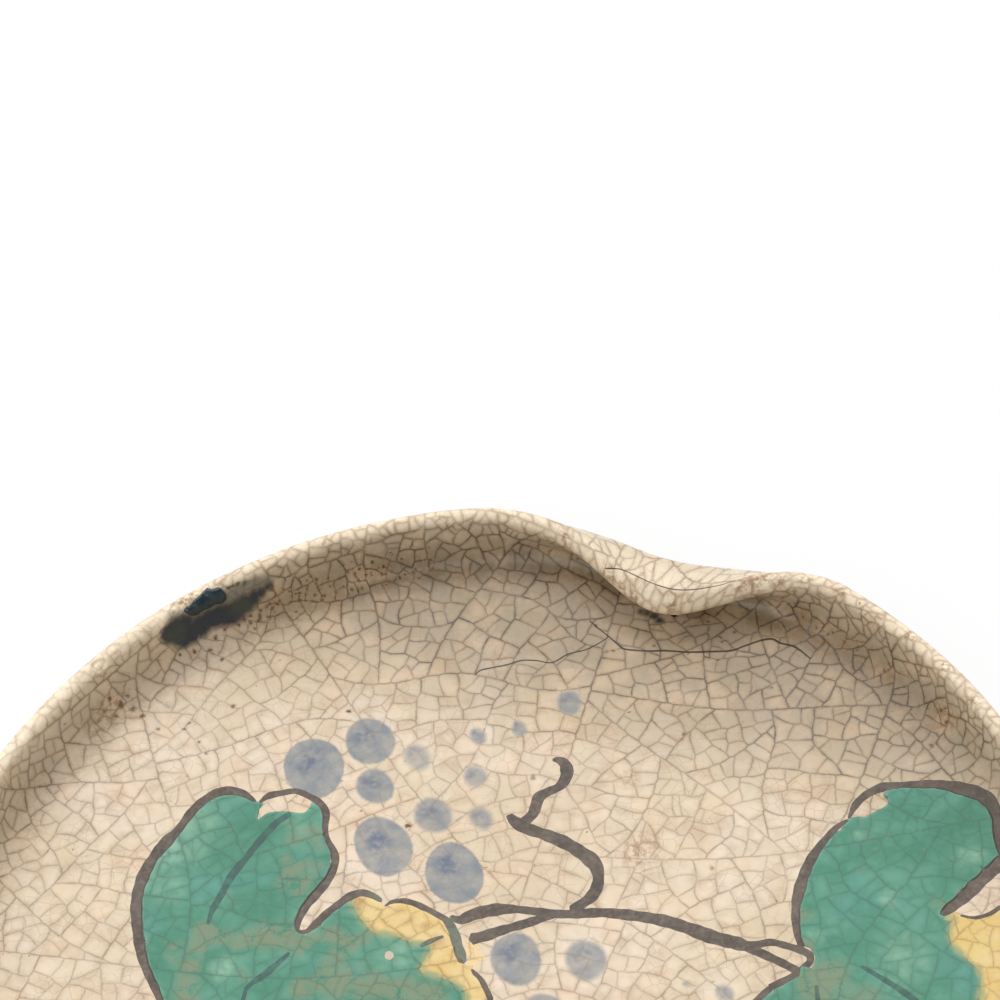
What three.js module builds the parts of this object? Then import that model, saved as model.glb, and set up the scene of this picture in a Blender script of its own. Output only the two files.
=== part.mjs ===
// A small hand-thrown stoneware plate: a low upright wall, a lip pinched inwards at one place,
// a thick glaze coat, and a pair of vine leaves filled with raised green and yellow enamel.
// Millimetres and degrees. +Z is up, the foot stands on z = 0 round the wheel's axis, and +Y
// points away from the person the plate is set before.

import * as THREE from "three";

// Driving dimensions of the thrown form
const RIM_RADIUS = 75;
const HEIGHT = 19;
const LIP_THICKNESS = 2.8;
const FLOOR_THICKNESS = 4.6;
const FLOOR_RADIUS = 67;
const FLOOR_RISE = 0.8;
const FLOOR_MIDDLE_HEIGHT = 8.8;
const CORNER_INSET = 1.4;
const CORNER_LIFT = 0.15;
const WALL_LEAN = 1;
const WALL_SPRING = 2.4;

// The pinch: a thumb dents the wall, and the lip above rolls further inwards, thickens and sinks
const PINCH_DIRECTION = 63.5;
const PINCH_HALF_WIDTH_LEFT = 23.5;
const PINCH_HALF_WIDTH_RIGHT = 18;
const PINCH_DEPTH = 7.2;
const PINCH_LOWEST = 13.1;
const PINCH_ROUNDING = 0.6;
const PINCH_DROP = 1.4;
const PINCH_THICKENING = 0.6;
const DENT_DIRECTION = 64.5;
const DENT_HALF_WIDTH = 13.6;
const DENT_DEPTH = 3;
const UNPINCHED = { roll: 0, dent: 0 };

// The foot ring, trimmed with a slight taper and a bevel on both edges
const FOOT_OUTER_RADIUS = 40;
const FOOT_INNER_RADIUS = 34.5;
const FOOT_TAPER = 0.8;
const FOOT_BEVEL = 0.7;

// The fired coats
const GLAZE_THICKNESS = 0.4;
const ENAMEL_THICKNESS = 0.4;
const COLOUR_SEAM = 1;
const DRIP_THICKNESS = 0.55;
const SEAM = 0.3; // clearance between one layer and the next
const GLAZE_EDGE_RADIUS = 41.5;

// The dark drop of glaze over the lip
const DRIP_DIRECTION = 117.5;
const DRIP_HALF_SPAN = 2.4;
const DRIP_MIDDLE = 1.25;
const DRIP_HALF_RUN = 0.6;
const DRIP_LOWEST_STATION = 1.35;
const DRIP_SPOKES = 16;

// How finely the curves are faceted
const COLUMNS_BESIDE_PINCH = 54;
const COLUMNS_ACROSS_PINCH = 22;
const LIP_FACETS = 5;
const FLOOR_STATIONS = [0, 0.35, 0.7];
const WALL_STATIONS = Array.from({ length: 9 }, (_, k) => 1 + k / 8);
const SPLINE_STEPS = 3;

const clay = new THREE.MeshStandardMaterial({ color: 0x9c8467, roughness: 0.9, metalness: 0 });
const crackleGlaze = new THREE.MeshStandardMaterial({ color: 0xcbbca3, roughness: 0.3, metalness: 0 });
const darkGlaze = new THREE.MeshStandardMaterial({ color: 0x1d2f33, roughness: 0.15, metalness: 0 });
const greenEnamel = new THREE.MeshStandardMaterial({ color: 0x2f8a5f, roughness: 0.2, metalness: 0 });
const yellowEnamel = new THREE.MeshStandardMaterial({ color: 0xcba23f, roughness: 0.25, metalness: 0 });

const lipHeight = HEIGHT - LIP_THICKNESS / 2;
const lipRadius = RIM_RADIUS - LIP_THICKNESS / 2;
const floorEdgeHeight = FLOOR_MIDDLE_HEIGHT + FLOOR_RISE;

// The wall's middle line runs on from the floor, turns up in a tight corner and leans out a
// little on its way to the lip.
const wallLine = new THREE.CubicBezierCurve(
  new THREE.Vector2(FLOOR_RADIUS, floorEdgeHeight),
  new THREE.Vector2(lipRadius - CORNER_INSET, floorEdgeHeight + CORNER_LIFT),
  new THREE.Vector2(lipRadius - WALL_LEAN, floorEdgeHeight + WALL_SPRING),
  new THREE.Vector2(lipRadius, lipHeight),
);

// A smooth hump over an angle round the plate, from 0 at its two sides to 1 in its middle.
function hump(angle, middle, halfWidthRight, halfWidthLeft) {
  const away = THREE.MathUtils.euclideanModulo(angle - middle + 180, 360) - 180;
  const share = away / (away < 0 ? halfWidthRight : halfWidthLeft);
  return Math.abs(share) < 1 ? Math.cos((Math.PI / 2) * share) ** 2 : 0;
}

// How strongly the pinch rolls the lip and dents the wall at an angle round the plate.
const pinchAt = (angle) => ({
  roll: hump(angle, PINCH_DIRECTION, PINCH_HALF_WIDTH_RIGHT, PINCH_HALF_WIDTH_LEFT),
  dent: hump(angle, DENT_DIRECTION, DENT_HALF_WIDTH, DENT_HALF_WIDTH),
});

// The middle of the clay at station u: 0 to 1 runs across the floor, 1 to 2 up the wall.
function middleLine(u, { roll, dent }) {
  const point =
    u < 1
      ? new THREE.Vector2(u * FLOOR_RADIUS, FLOOR_MIDDLE_HEIGHT + FLOOR_RISE * u * u)
      : wallLine.getPoint(Math.min(u - 1, 1));
  const raised = THREE.MathUtils.clamp(THREE.MathUtils.inverseLerp(PINCH_LOWEST, lipHeight, point.y), 0, 1);
  const rolled = THREE.MathUtils.lerp(raised ** 2, THREE.MathUtils.smoothstep(raised, 0, 1), PINCH_ROUNDING);
  point.x -= roll * PINCH_DEPTH * rolled + dent * DENT_DEPTH * THREE.MathUtils.smoothstep(u, 0.8, 1.1);
  point.y -= roll * PINCH_DROP * raised ** 2;
  return point;
}

function halfThickness(u, { roll }) {
  const plain = THREE.MathUtils.lerp(FLOOR_THICKNESS, LIP_THICKNESS, Math.min(u / 2, 1)) / 2;
  return plain + roll * PINCH_THICKENING * THREE.MathUtils.smoothstep(u, 1.4, 2);
}

// The direction along the middle line, from the plate's centre towards its lip.
function directionAt(u, pinch) {
  const step = 0.01;
  const ahead = middleLine(Math.min(u + step, 2), pinch);
  return ahead.sub(middleLine(Math.min(u, 2 - step) - (u < step ? step : 0), pinch)).normalize();
}

// A point under the surface by depth, on the food side (side 1) or the underside (side -1).
function skinPoint(u, side, depth, pinch) {
  const along = directionAt(u, pinch);
  const reach = side * (halfThickness(u, pinch) - depth);
  return middleLine(u, pinch).add(new THREE.Vector2(-along.y * reach, along.x * reach));
}

// The outline of one side from the stations given, as a list of radius and height.
const sideLine = (stations, side, depth, pinch) => stations.map((u) => skinPoint(u, side, depth, pinch));

// The round of the lip, from the underside over the top, without its two end points.
function lipLine(depth, pinch) {
  const along = directionAt(2, pinch);
  const centre = middleLine(2, pinch);
  const radius = halfThickness(2, pinch) - depth;
  return Array.from({ length: LIP_FACETS - 1 }, (_, k) => {
    const turn = (Math.PI * (k + 1)) / LIP_FACETS - Math.PI / 2;
    const forward = Math.cos(turn) * radius;
    const inward = Math.sin(turn) * radius;
    return new THREE.Vector2(
      centre.x + along.x * forward - along.y * inward,
      centre.y + along.y * forward + along.x * inward,
    );
  });
}

// The angles of the columns, closer together across the pinch.
function columnAngles() {
  const evenly = (from, to, count) => Array.from({ length: count }, (_, k) => from + ((to - from) * k) / count);
  const from = PINCH_DIRECTION - PINCH_HALF_WIDTH_RIGHT;
  const to = PINCH_DIRECTION + PINCH_HALF_WIDTH_LEFT;
  return [...evenly(from, to, COLUMNS_ACROSS_PINCH), ...evenly(to, from + 360, COLUMNS_BESIDE_PINCH)];
}

const at = (radius, angle, height) => {
  const a = THREE.MathUtils.degToRad(angle);
  return [radius * Math.cos(a), radius * Math.sin(a), height];
};

function meshGeometry(positions, triangles) {
  const geometry = new THREE.BufferGeometry();
  geometry.setAttribute("position", new THREE.Float32BufferAttribute(positions.flat(), 3));
  geometry.setIndex(triangles.flat());
  geometry.computeVertexNormals();
  return geometry;
}

// Sweeps a section round the axis. sectionAt(pinch) lists radius and height, running outwards
// along the underside first. It starts and ends on the axis, or with closed it is a ring.
function sweptRound(sectionAt, closed = false) {
  const positions = [];
  const triangles = [];
  const angles = columnAngles();
  const sections = angles.map((angle) => sectionAt(pinchAt(angle)));
  const rows = sections[0].length;
  const first = closed ? 0 : 1;
  const last = closed ? rows - 1 : rows - 2;
  const perColumn = last - first + 1;
  sections.forEach((section, i) => {
    for (let j = first; j <= last; j++) positions.push(at(section[j].x, angles[i], section[j].y));
  });
  const index = (i, j) => (i % angles.length) * perColumn + (j % perColumn);
  angles.forEach((_, i) => {
    for (let j = 0; j < (closed ? perColumn : perColumn - 1); j++) {
      triangles.push([index(i, j), index(i + 1, j), index(i + 1, j + 1)]);
      triangles.push([index(i, j), index(i + 1, j + 1), index(i, j + 1)]);
    }
  });
  if (!closed) {
    const start = positions.push([0, 0, sections[0][0].y]) - 1;
    const end = positions.push([0, 0, sections[0][rows - 1].y]) - 1;
    angles.forEach((_, i) => {
      triangles.push([start, index(i + 1, 0), index(i, 0)]);
      triangles.push([end, index(i, perColumn - 1), index(i + 1, perColumn - 1)]);
    });
  }
  return meshGeometry(positions, triangles);
}

const stations = [...FLOOR_STATIONS, ...WALL_STATIONS];
const inwards = [...stations].reverse();

// The clay of the plate, thrown in one piece.
function dish() {
  const depth = GLAZE_THICKNESS + SEAM;
  return sweptRound((pinch) => [
    ...sideLine(stations, -1, depth, pinch),
    ...lipLine(depth, pinch),
    ...sideLine(inwards, 1, depth, pinch),
  ]);
}

// The coat over the food side, the lip and the outside, down to a wiped edge beside the foot.
function glazeCoat() {
  const wiped = [GLAZE_EDGE_RADIUS / FLOOR_RADIUS, 0.82, ...WALL_STATIONS];
  const overLip = (depth, pinch) => [
    ...sideLine(wiped, -1, depth, pinch),
    ...lipLine(depth, pinch),
    ...sideLine(inwards, 1, depth, pinch),
  ];
  return sweptRound((pinch) => [
    ...overLip(GLAZE_THICKNESS, pinch).reverse(),
    ...overLip(0, pinch),
  ]);
}

// The glaze that lies inside the foot ring.
function baseGlaze() {
  const reach = (FOOT_INNER_RADIUS - 1) / FLOOR_RADIUS;
  const across = [0, reach / 2, reach];
  return sweptRound(() => [
    ...sideLine(across, -1, 0, UNPINCHED),
    ...sideLine([...across].reverse(), -1, GLAZE_THICKNESS, UNPINCHED),
  ]);
}

// The foot, flat where it stands and fitted to the slope of the dish above.
function footRing() {
  const topAt = (radius) => {
    const under = skinPoint(radius / FLOOR_RADIUS, -1, GLAZE_THICKNESS + SEAM, UNPINCHED);
    return new THREE.Vector2(radius, under.y - SEAM);
  };
  return sweptRound(
    () => [
      new THREE.Vector2(FOOT_INNER_RADIUS + FOOT_BEVEL, 0),
      new THREE.Vector2(FOOT_OUTER_RADIUS - FOOT_TAPER - FOOT_BEVEL, 0),
      new THREE.Vector2(FOOT_OUTER_RADIUS - FOOT_TAPER, FOOT_BEVEL),
      topAt(FOOT_OUTER_RADIUS),
      topAt((FOOT_OUTER_RADIUS + FOOT_INNER_RADIUS) / 2),
      topAt(FOOT_INNER_RADIUS - FOOT_TAPER / 2),
      new THREE.Vector2(FOOT_INNER_RADIUS, FOOT_BEVEL),
    ],
    true,
  );
}

// Height of the glazed floor at a radius, read between the stations of the food side.
function floorHeight(radius) {
  const line = sideLine(stations, 1, 0, UNPINCHED);
  const next = line.findIndex((point) => point.x > radius);
  const [a, b] = [line[next - 1], line[next]];
  return THREE.MathUtils.mapLinear(radius, a.x, b.x, a.y, b.y);
}

// A pool of enamel on the floor, inside a closed curve through the points given.
function enamelField(outline) {
  const loop = new THREE.CatmullRomCurve3(
    outline.map(([x, y]) => new THREE.Vector3(x, y, 0)),
    true,
    "centripetal",
  );
  const edge = loop.getPoints(outline.length * SPLINE_STEPS).slice(0, -1);
  const shape = new THREE.Shape(edge.map(({ x, y }) => new THREE.Vector2(x, y)));
  const geometry = new THREE.ExtrudeGeometry(shape, { depth: ENAMEL_THICKNESS, bevelEnabled: false });
  const position = geometry.getAttribute("position");
  for (let i = 0; i < position.count; i++) {
    const radius = Math.hypot(position.getX(i), position.getY(i));
    position.setZ(i, position.getZ(i) + floorHeight(radius) + SEAM);
  }
  geometry.computeVertexNormals();
  return geometry;
}

// The edges of the two leaves, clockwise, and the line where green meets yellow in each.
const LEFT_LEAF_GREEN_EDGE = [
  [-10, -14], [-17, -12], [-24, -17], [-33, -17], [-39, -9], [-42, 0], [-44, 10], [-44.5, 22],
  [-40, 31], [-35.5, 37], [-30, 37.5], [-27, 36], [-22, 36], [-19.5, 31], [-19.5, 24], [-24, 16.5],
  [-21, 16], [-17, 19],
];
const LEFT_LEAF_YELLOW_EDGE = [[-12, 17.5], [-7.5, 14.5], [-5, 10], [-3, 0], [-4, -8]];
const LEFT_LEAF_MEETING = [[-14, 12], [-11, 5], [-10, -3], [-9, -10]];
const RIGHT_LEAF_GREEN_EDGE = [
  [50, -20], [42, -18], [33, -18], [28, -11], [31, -4], [38.5, -1], [39, 9], [44, 19], [49, 24.5],
  [57, 25.5], [63.5, 23], [65, 14], [58, 5.5],
];
const RIGHT_LEAF_YELLOW_EDGE = [[63, 4], [66.5, -1], [66, -9], [61, -14], [56, -17]];
const RIGHT_LEAF_MEETING = [[57, 0], [58, -6], [55, -12], [52, -16]];

// The meeting line moved to one side, so that a bare seam runs between green and yellow.
const beside = (line, side) => line.map(([x, y]) => [x + side * COLOUR_SEAM, y]);

const greenOf = (edge, meeting) => enamelField([...edge, ...beside(meeting, -0.5)]);
const yellowOf = (edge, meeting) => enamelField([...edge, ...beside(meeting, 0.5).reverse()]);

// A point over the lip, from the foot of the wall on the food side (q = 0) up to where the lip's
// round begins (q = 1) and on to its crest (q = 2).
function overLip(q, depth) {
  if (q <= 1) return skinPoint(THREE.MathUtils.lerp(DRIP_LOWEST_STATION, 2, q), 1, depth, UNPINCHED);
  const turn = (Math.PI / 2) * (2 - q);
  const along = directionAt(2, UNPINCHED);
  const radius = halfThickness(2, UNPINCHED) - depth;
  const inward = new THREE.Vector2(-along.y, along.x).multiplyScalar(Math.sin(turn) * radius);
  return middleLine(2, UNPINCHED).addScaledVector(along, Math.cos(turn) * radius).add(inward);
}

// The dark drop: a lens that lies over the lip and thins out to nothing at its edge.
function rimDrip() {
  const point = (share, turn, lift) => {
    const q = DRIP_MIDDLE + DRIP_HALF_RUN * share * Math.sin(turn);
    const { x, y } = overLip(q, -SEAM - lift);
    return at(x, DRIP_DIRECTION + DRIP_HALF_SPAN * share * Math.cos(turn), y);
  };
  const ring = (share, lift) =>
    Array.from({ length: DRIP_SPOKES }, (_, k) => point(share, (2 * Math.PI * k) / DRIP_SPOKES, lift));
  const domed = (share) => DRIP_THICKNESS * (1 - share ** 2);
  const rings = [ring(0.5, 0), ring(1, 0), ring(0.75, domed(0.75)), ring(0.4, domed(0.4))];
  const positions = [...rings.flat(), point(0, 0, 0), point(0, 0, DRIP_THICKNESS)];
  const [under, over] = [positions.length - 2, positions.length - 1];
  const index = (i, k) => i * DRIP_SPOKES + (k % DRIP_SPOKES);
  const triangles = [];
  for (let k = 0; k < DRIP_SPOKES; k++) {
    triangles.push([under, index(0, k), index(0, k + 1)]);
    for (let i = 0; i < rings.length - 1; i++) {
      triangles.push([index(i, k), index(i + 1, k), index(i + 1, k + 1)]);
      triangles.push([index(i, k), index(i + 1, k + 1), index(i, k + 1)]);
    }
    triangles.push([over, index(rings.length - 1, k + 1), index(rings.length - 1, k)]);
  }
  return meshGeometry(positions, triangles);
}

const part = new THREE.Group();
function add(name, geometry, material) {
  const mesh = new THREE.Mesh(geometry, material);
  mesh.name = name;
  part.add(mesh);
}

add("dish", dish(), clay);
add("foot_ring", footRing(), clay);
add("glaze_coat", glazeCoat(), crackleGlaze);
add("base_glaze", baseGlaze(), crackleGlaze);
add("rim_drip", rimDrip(), darkGlaze);
add("left_leaf_green", greenOf(LEFT_LEAF_GREEN_EDGE, LEFT_LEAF_MEETING), greenEnamel);
add("left_leaf_yellow", yellowOf(LEFT_LEAF_YELLOW_EDGE, LEFT_LEAF_MEETING), yellowEnamel);
add("right_leaf_green", greenOf(RIGHT_LEAF_GREEN_EDGE, RIGHT_LEAF_MEETING), greenEnamel);
add("right_leaf_yellow", yellowOf(RIGHT_LEAF_YELLOW_EDGE, RIGHT_LEAF_MEETING), yellowEnamel);

export default part;
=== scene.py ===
# A small crackle-glazed plate with a pinched lip, painted with a grapevine and two enamelled leaves.
# The row frame: metres, +Z up, the foot stands on z = 0, and +Y points away from the viewer.
# Every length here is in millimetres until a mesh is made from it.

import math
from collections import namedtuple

import bpy
import numpy as np
from mathutils import Matrix, Vector, kdtree
from mathutils.geometry import delaunay_2d_cdt


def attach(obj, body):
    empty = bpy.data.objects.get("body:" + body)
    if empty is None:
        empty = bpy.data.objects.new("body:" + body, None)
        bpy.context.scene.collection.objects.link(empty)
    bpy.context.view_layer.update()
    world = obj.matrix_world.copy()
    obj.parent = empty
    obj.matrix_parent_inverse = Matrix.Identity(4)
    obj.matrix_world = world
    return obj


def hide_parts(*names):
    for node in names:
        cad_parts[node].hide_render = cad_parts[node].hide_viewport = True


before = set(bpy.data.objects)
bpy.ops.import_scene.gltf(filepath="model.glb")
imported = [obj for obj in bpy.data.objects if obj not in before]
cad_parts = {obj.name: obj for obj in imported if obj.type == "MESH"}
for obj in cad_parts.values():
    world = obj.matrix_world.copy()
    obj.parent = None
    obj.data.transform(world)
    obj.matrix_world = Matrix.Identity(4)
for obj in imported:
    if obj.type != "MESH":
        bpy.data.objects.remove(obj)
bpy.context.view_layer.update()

MM = 0.001

# The form of the plate, as in the CAD model

RIM_RADIUS = 75
HEIGHT = 19
LIP_THICKNESS = 2.8
FLOOR_THICKNESS = 4.6
FLOOR_RADIUS = 67
FLOOR_RISE = 0.8
FLOOR_MIDDLE_HEIGHT = 8.8
CORNER_INSET = 1.4
CORNER_LIFT = 0.15
WALL_LEAN = 1
WALL_SPRING = 2.4
PINCH_DIRECTION = 63.5
PINCH_HALF_WIDTH_LEFT = 23.5
PINCH_HALF_WIDTH_RIGHT = 18
PINCH_DEPTH = 7.2
PINCH_LOWEST = 13.1
PINCH_ROUNDING = 0.6
PINCH_DROP = 1.4
PINCH_THICKENING = 0.6
DENT_DIRECTION = 64.5
DENT_HALF_WIDTH = 13.6
DENT_DEPTH = 3
FOOT_OUTER_RADIUS = 40
FOOT_INNER_RADIUS = 34.5
FOOT_TAPER = 0.8
FOOT_BEVEL = 0.7
GLAZE_THICKNESS = 0.4
SEAM = 0.3
GLAZE_EDGE_RADIUS = 41.5
LIP_HEIGHT = HEIGHT - LIP_THICKNESS / 2
LIP_RADIUS = RIM_RADIUS - LIP_THICKNESS / 2
FLOOR_EDGE_HEIGHT = FLOOR_MIDDLE_HEIGHT + FLOOR_RISE
WALL_LINE = np.array([
    (FLOOR_RADIUS, FLOOR_EDGE_HEIGHT),
    (LIP_RADIUS - CORNER_INSET, FLOOR_EDGE_HEIGHT + CORNER_LIFT),
    (LIP_RADIUS - WALL_LEAN, FLOOR_EDGE_HEIGHT + WALL_SPRING),
    (LIP_RADIUS, LIP_HEIGHT),
])


def smoothstep(value, low, high):
    t = np.clip((value - low) / (high - low), 0, 1)
    return t * t * (3 - 2 * t)


def hump(angle, middle, half_right, half_left):
    """A smooth hump over an angle round the plate, from 0 at its sides to 1 in its middle."""
    away = (angle - middle + 180) % 360 - 180
    share = away / np.where(away < 0, half_right, half_left)
    return np.where(np.abs(share) < 1, np.cos(np.pi / 2 * share) ** 2, 0)


def middle_line(u, roll, dent):
    """The middle of the clay at station u: 0 to 1 runs across the floor, 1 to 2 up the wall."""
    t = np.clip(u - 1, 0, 1)[:, None]
    wall = sum(
        weight * (1 - t) ** (3 - k) * t**k * WALL_LINE[k] for k, weight in enumerate((1, 3, 3, 1))
    )
    floor = np.stack([u * FLOOR_RADIUS, FLOOR_MIDDLE_HEIGHT + FLOOR_RISE * u * u], -1)
    point = np.where(u[:, None] < 1, floor, wall)
    raised = np.clip((point[:, 1] - PINCH_LOWEST) / (LIP_HEIGHT - PINCH_LOWEST), 0, 1)
    rolled = raised**2 + (smoothstep(raised, 0, 1) - raised**2) * PINCH_ROUNDING
    point[:, 0] -= roll * PINCH_DEPTH * rolled + dent * DENT_DEPTH * smoothstep(u, 0.8, 1.1)
    point[:, 1] -= roll * PINCH_DROP * raised**2
    return point


def half_thickness(u, roll):
    plain = (FLOOR_THICKNESS + (LIP_THICKNESS - FLOOR_THICKNESS) * np.minimum(u / 2, 1)) / 2
    return plain + roll * PINCH_THICKENING * smoothstep(u, 1.4, 2)


def section_point(station, depth, roll, dent):
    """Radius and height under the skin by depth.

    Stations 0 to 2 run over the food side, 2 to 3 round the lip and 3 to 5 back along the outside.
    """
    step = 0.01
    u = np.where(station < 2, station, np.where(station > 3, 5 - station, 2))
    turn = np.pi * np.clip(station - 2, 0, 1)[:, None]
    ahead = middle_line(np.minimum(u + step, 2), roll, dent)
    along = ahead - middle_line(np.minimum(u, 2 - step) - np.where(u < step, step, 0), roll, dent)
    along /= np.hypot(*along.T)[:, None]
    inward = np.stack([-along[:, 1], along[:, 0]], -1)
    reach = (half_thickness(u, roll) - depth)[:, None]
    return middle_line(u, roll, dent) + (inward * np.cos(turn) + along * np.sin(turn)) * reach


# The coat laid out flat: how far a point is from the middle, measured along the skin of the
# section away from the pinch, and its direction round the plate

WIPED_STATION = 5 - GLAZE_EDGE_RADIUS / FLOOR_RADIUS
STATIONS = np.concatenate([np.linspace(0, 2, 900), np.linspace(2, WIPED_STATION, 900)[1:]])
zeros = np.zeros(len(STATIONS))
SECTION = section_point(STATIONS, zeros, zeros, zeros)
ARC = np.concatenate([[0], np.cumsum(np.hypot(*np.diff(SECTION, axis=0).T))])
CREST = int(np.argmax(SECTION[:, 1]))
COAT_REACH = ARC[-1]

chance = np.random.default_rng(11)
WAVE_COUNT = 40
WAVE_LENGTHS = np.geomspace(5, 80, WAVE_COUNT)
WAVE_TURNS = chance.uniform(0, 2 * np.pi, WAVE_COUNT)
WAVE_STARTS = chance.uniform(0, 2 * np.pi, WAVE_COUNT)
WAVE_HEIGHTS = 0.00075 * WAVE_LENGTHS
WAVE_SHARE = 0.45
WAVE_SINK = 0.08


def station_at(flat):
    return np.interp(np.hypot(*flat.T), ARC, STATIONS)


def unevenness(flat):
    """How far the hand-made surface departs from the drawn one, up to about 0.1 either way."""
    lift = np.zeros(len(flat))
    for length, turn, start, height in zip(WAVE_LENGTHS, WAVE_TURNS, WAVE_STARTS, WAVE_HEIGHTS):
        across = flat[:, 0] * math.cos(turn) + flat[:, 1] * math.sin(turn)
        lift += height * np.sin(across * 2 * np.pi / length + start)
    return lift * WAVE_SHARE - WAVE_SINK


def spun(radius_height, flat):
    angle = np.arctan2(flat[:, 1], flat[:, 0])
    radius, height = radius_height.T
    return np.stack([radius * np.cos(angle), radius * np.sin(angle), height], -1)


def pinch_at(flat):
    """How strong the pinch is in the direction of each point, from 0 to 1."""
    degrees = np.degrees(np.arctan2(flat[:, 1], flat[:, 0]))
    return hump(degrees, PINCH_DIRECTION, PINCH_HALF_WIDTH_RIGHT, PINCH_HALF_WIDTH_LEFT)


def on_coat(flat, lift=0.0):
    """The place in space of points on the flat layout, raised by lift over the coat's skin."""
    degrees = np.degrees(np.arctan2(flat[:, 1], flat[:, 0]))
    dent = hump(degrees, DENT_DIRECTION, DENT_HALF_WIDTH, DENT_HALF_WIDTH)
    return spun(section_point(station_at(flat), -lift - unevenness(flat), pinch_at(flat), dent), flat)


def on_base(flat, lift=0.0):
    """The same under the plate, inside the foot: lift 0 is the clay and points down from there."""
    stations = 5 - np.hypot(*flat.T) / FLOOR_RADIUS
    none = np.zeros(len(flat))
    return spun(section_point(stations, GLAZE_THICKNESS - lift + none, none, none), flat)


# Camera, from the outline of the rim in the photograph

CAMERA_DISTANCE = 600
CAMERA_ELEVATION = math.radians(50.85)
CAMERA_ROLL = math.radians(-7.08)
CAMERA_AIM = Vector((8.12, 74.86, 19))
FOCAL_PIXELS = 4442
PICTURE_PIXELS = 1000
SENSOR = 36

look = Vector((0, math.cos(CAMERA_ELEVATION), -math.sin(CAMERA_ELEVATION)))
right = Vector((1, 0, 0))
up = right.cross(look)
turned_right = right * math.cos(CAMERA_ROLL) + up * math.sin(CAMERA_ROLL)
turned_up = up * math.cos(CAMERA_ROLL) - right * math.sin(CAMERA_ROLL)
eye = CAMERA_AIM - look * CAMERA_DISTANCE
camera = bpy.data.objects.new("camera", bpy.data.cameras.new("camera"))
bpy.context.scene.collection.objects.link(camera)
facing = Matrix((turned_right, turned_up, -look)).transposed().to_4x4()
camera.matrix_world = Matrix.Translation(eye * MM) @ facing
camera.data.sensor_width = SENSOR
camera.data.lens = FOCAL_PIXELS / PICTURE_PIXELS * SENSOR
camera.data.clip_start = 0.01
bpy.context.scene.camera = camera


# Many places of the coat in and near the pinch, and where the camera sees them

PINCH_SAMPLING = 0.2
PINCH_REACH = 45
PINCH_FROM = math.radians(36)
PINCH_TO = math.radians(92)
NEAR_PIXELS = 2
SAME_LAYER = 0.8
pinch_radii = np.arange(np.interp(0.95, STATIONS, ARC), np.interp(3.4, STATIONS, ARC), PINCH_SAMPLING)
pinch_turns = np.arange(PINCH_FROM, PINCH_TO, PINCH_SAMPLING / RIM_RADIUS)
pinch_flat = np.stack([
    np.outer(pinch_radii, np.cos(pinch_turns)).ravel(), np.outer(pinch_radii, np.sin(pinch_turns)).ravel(),
], -1)


def in_picture(flat):
    """Where the camera sees points of the coat, and how far away."""
    offset = on_coat(flat) - np.array(eye)
    depth = offset @ np.array(look)
    sideways = np.stack([offset @ np.array(turned_right), -offset @ np.array(turned_up)], -1)
    return PICTURE_PIXELS / 2 + FOCAL_PIXELS / depth[:, None] * sideways, depth


pinch_pixels, pinch_depth = in_picture(pinch_flat)


def seen_on_pinch(pixels, otherwise):
    """The same as seen, for places in the pinch, where the lip rolls in over the wall."""
    found = otherwise.copy()
    on_it = np.zeros(len(pixels), bool)
    for k, pixel in enumerate(pixels):
        away = np.hypot(*(pinch_pixels - pixel).T)
        on_it[k] = away.min() < NEAR_PIXELS
        if on_it[k]:
            near = away < away.min() + 1.5
            in_front = near & (pinch_depth < pinch_depth[near].min() + SAME_LAYER)
            found[k] = pinch_flat[np.argmin(np.where(in_front, away, np.inf))]
    step = 0.02
    for _ in range(4):
        here = in_picture(found)[0]
        a, c = ((in_picture(found + (step, 0))[0] - here) / step).T
        b, d = ((in_picture(found + (0, step))[0] - here) / step).T
        miss = pixels - here
        scale = a * d - b * c
        scale = np.where(np.abs(scale) < 1, np.inf, scale)[:, None]
        move = np.stack([d * miss[:, 0] - b * miss[:, 1], a * miss[:, 1] - c * miss[:, 0]], -1) / scale
        found[on_it] += np.clip(move[on_it], -PINCH_SAMPLING, PINCH_SAMPLING)
    return found


def seen(pixels):
    """Where places of the photograph lie on the flat layout of the coat."""
    pixels = np.asarray(pixels, float)
    shift = (pixels[:, :2] - PICTURE_PIXELS / 2) / FOCAL_PIXELS
    ray = np.array(look) + shift[:, :1] * np.array(turned_right) - shift[:, 1:] * np.array(turned_up)
    heights = np.linspace(HEIGHT + 0.5, 9, 1600)
    reach = (heights - eye.z) / ray[:, 2:]
    x = eye.x + ray[:, :1] * reach
    y = eye.y + ray[:, 1:2] * reach
    radius = np.hypot(x, y)
    skin = np.interp(radius, SECTION[:CREST, 0], SECTION[:CREST, 1], right=0)
    hit = np.argmax(heights <= skin, axis=1)
    row = np.arange(len(pixels))
    share = np.interp(radius[row, hit], SECTION[:CREST, 0], ARC[:CREST]) / radius[row, hit]
    flat = np.stack([x[row, hit] * share, y[row, hit] * share], -1)
    turns = np.arctan2(flat[:, 1], flat[:, 0])
    in_sector = (turns > pinch_turns[0]) & (turns < pinch_turns[-1])
    pinched = in_sector & (np.hypot(*flat.T) > PINCH_REACH)
    if pinched.any():
        flat[pinched] = seen_on_pinch(pixels[pinched, :2], flat[pinched])
    return flat


PIXELS_PER_MM = FOCAL_PIXELS / CAMERA_DISTANCE

# Brush strokes. A row is x, y and width, in photograph pixels where the photograph shows the
# stroke and in millimetres where it doesn't.


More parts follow.
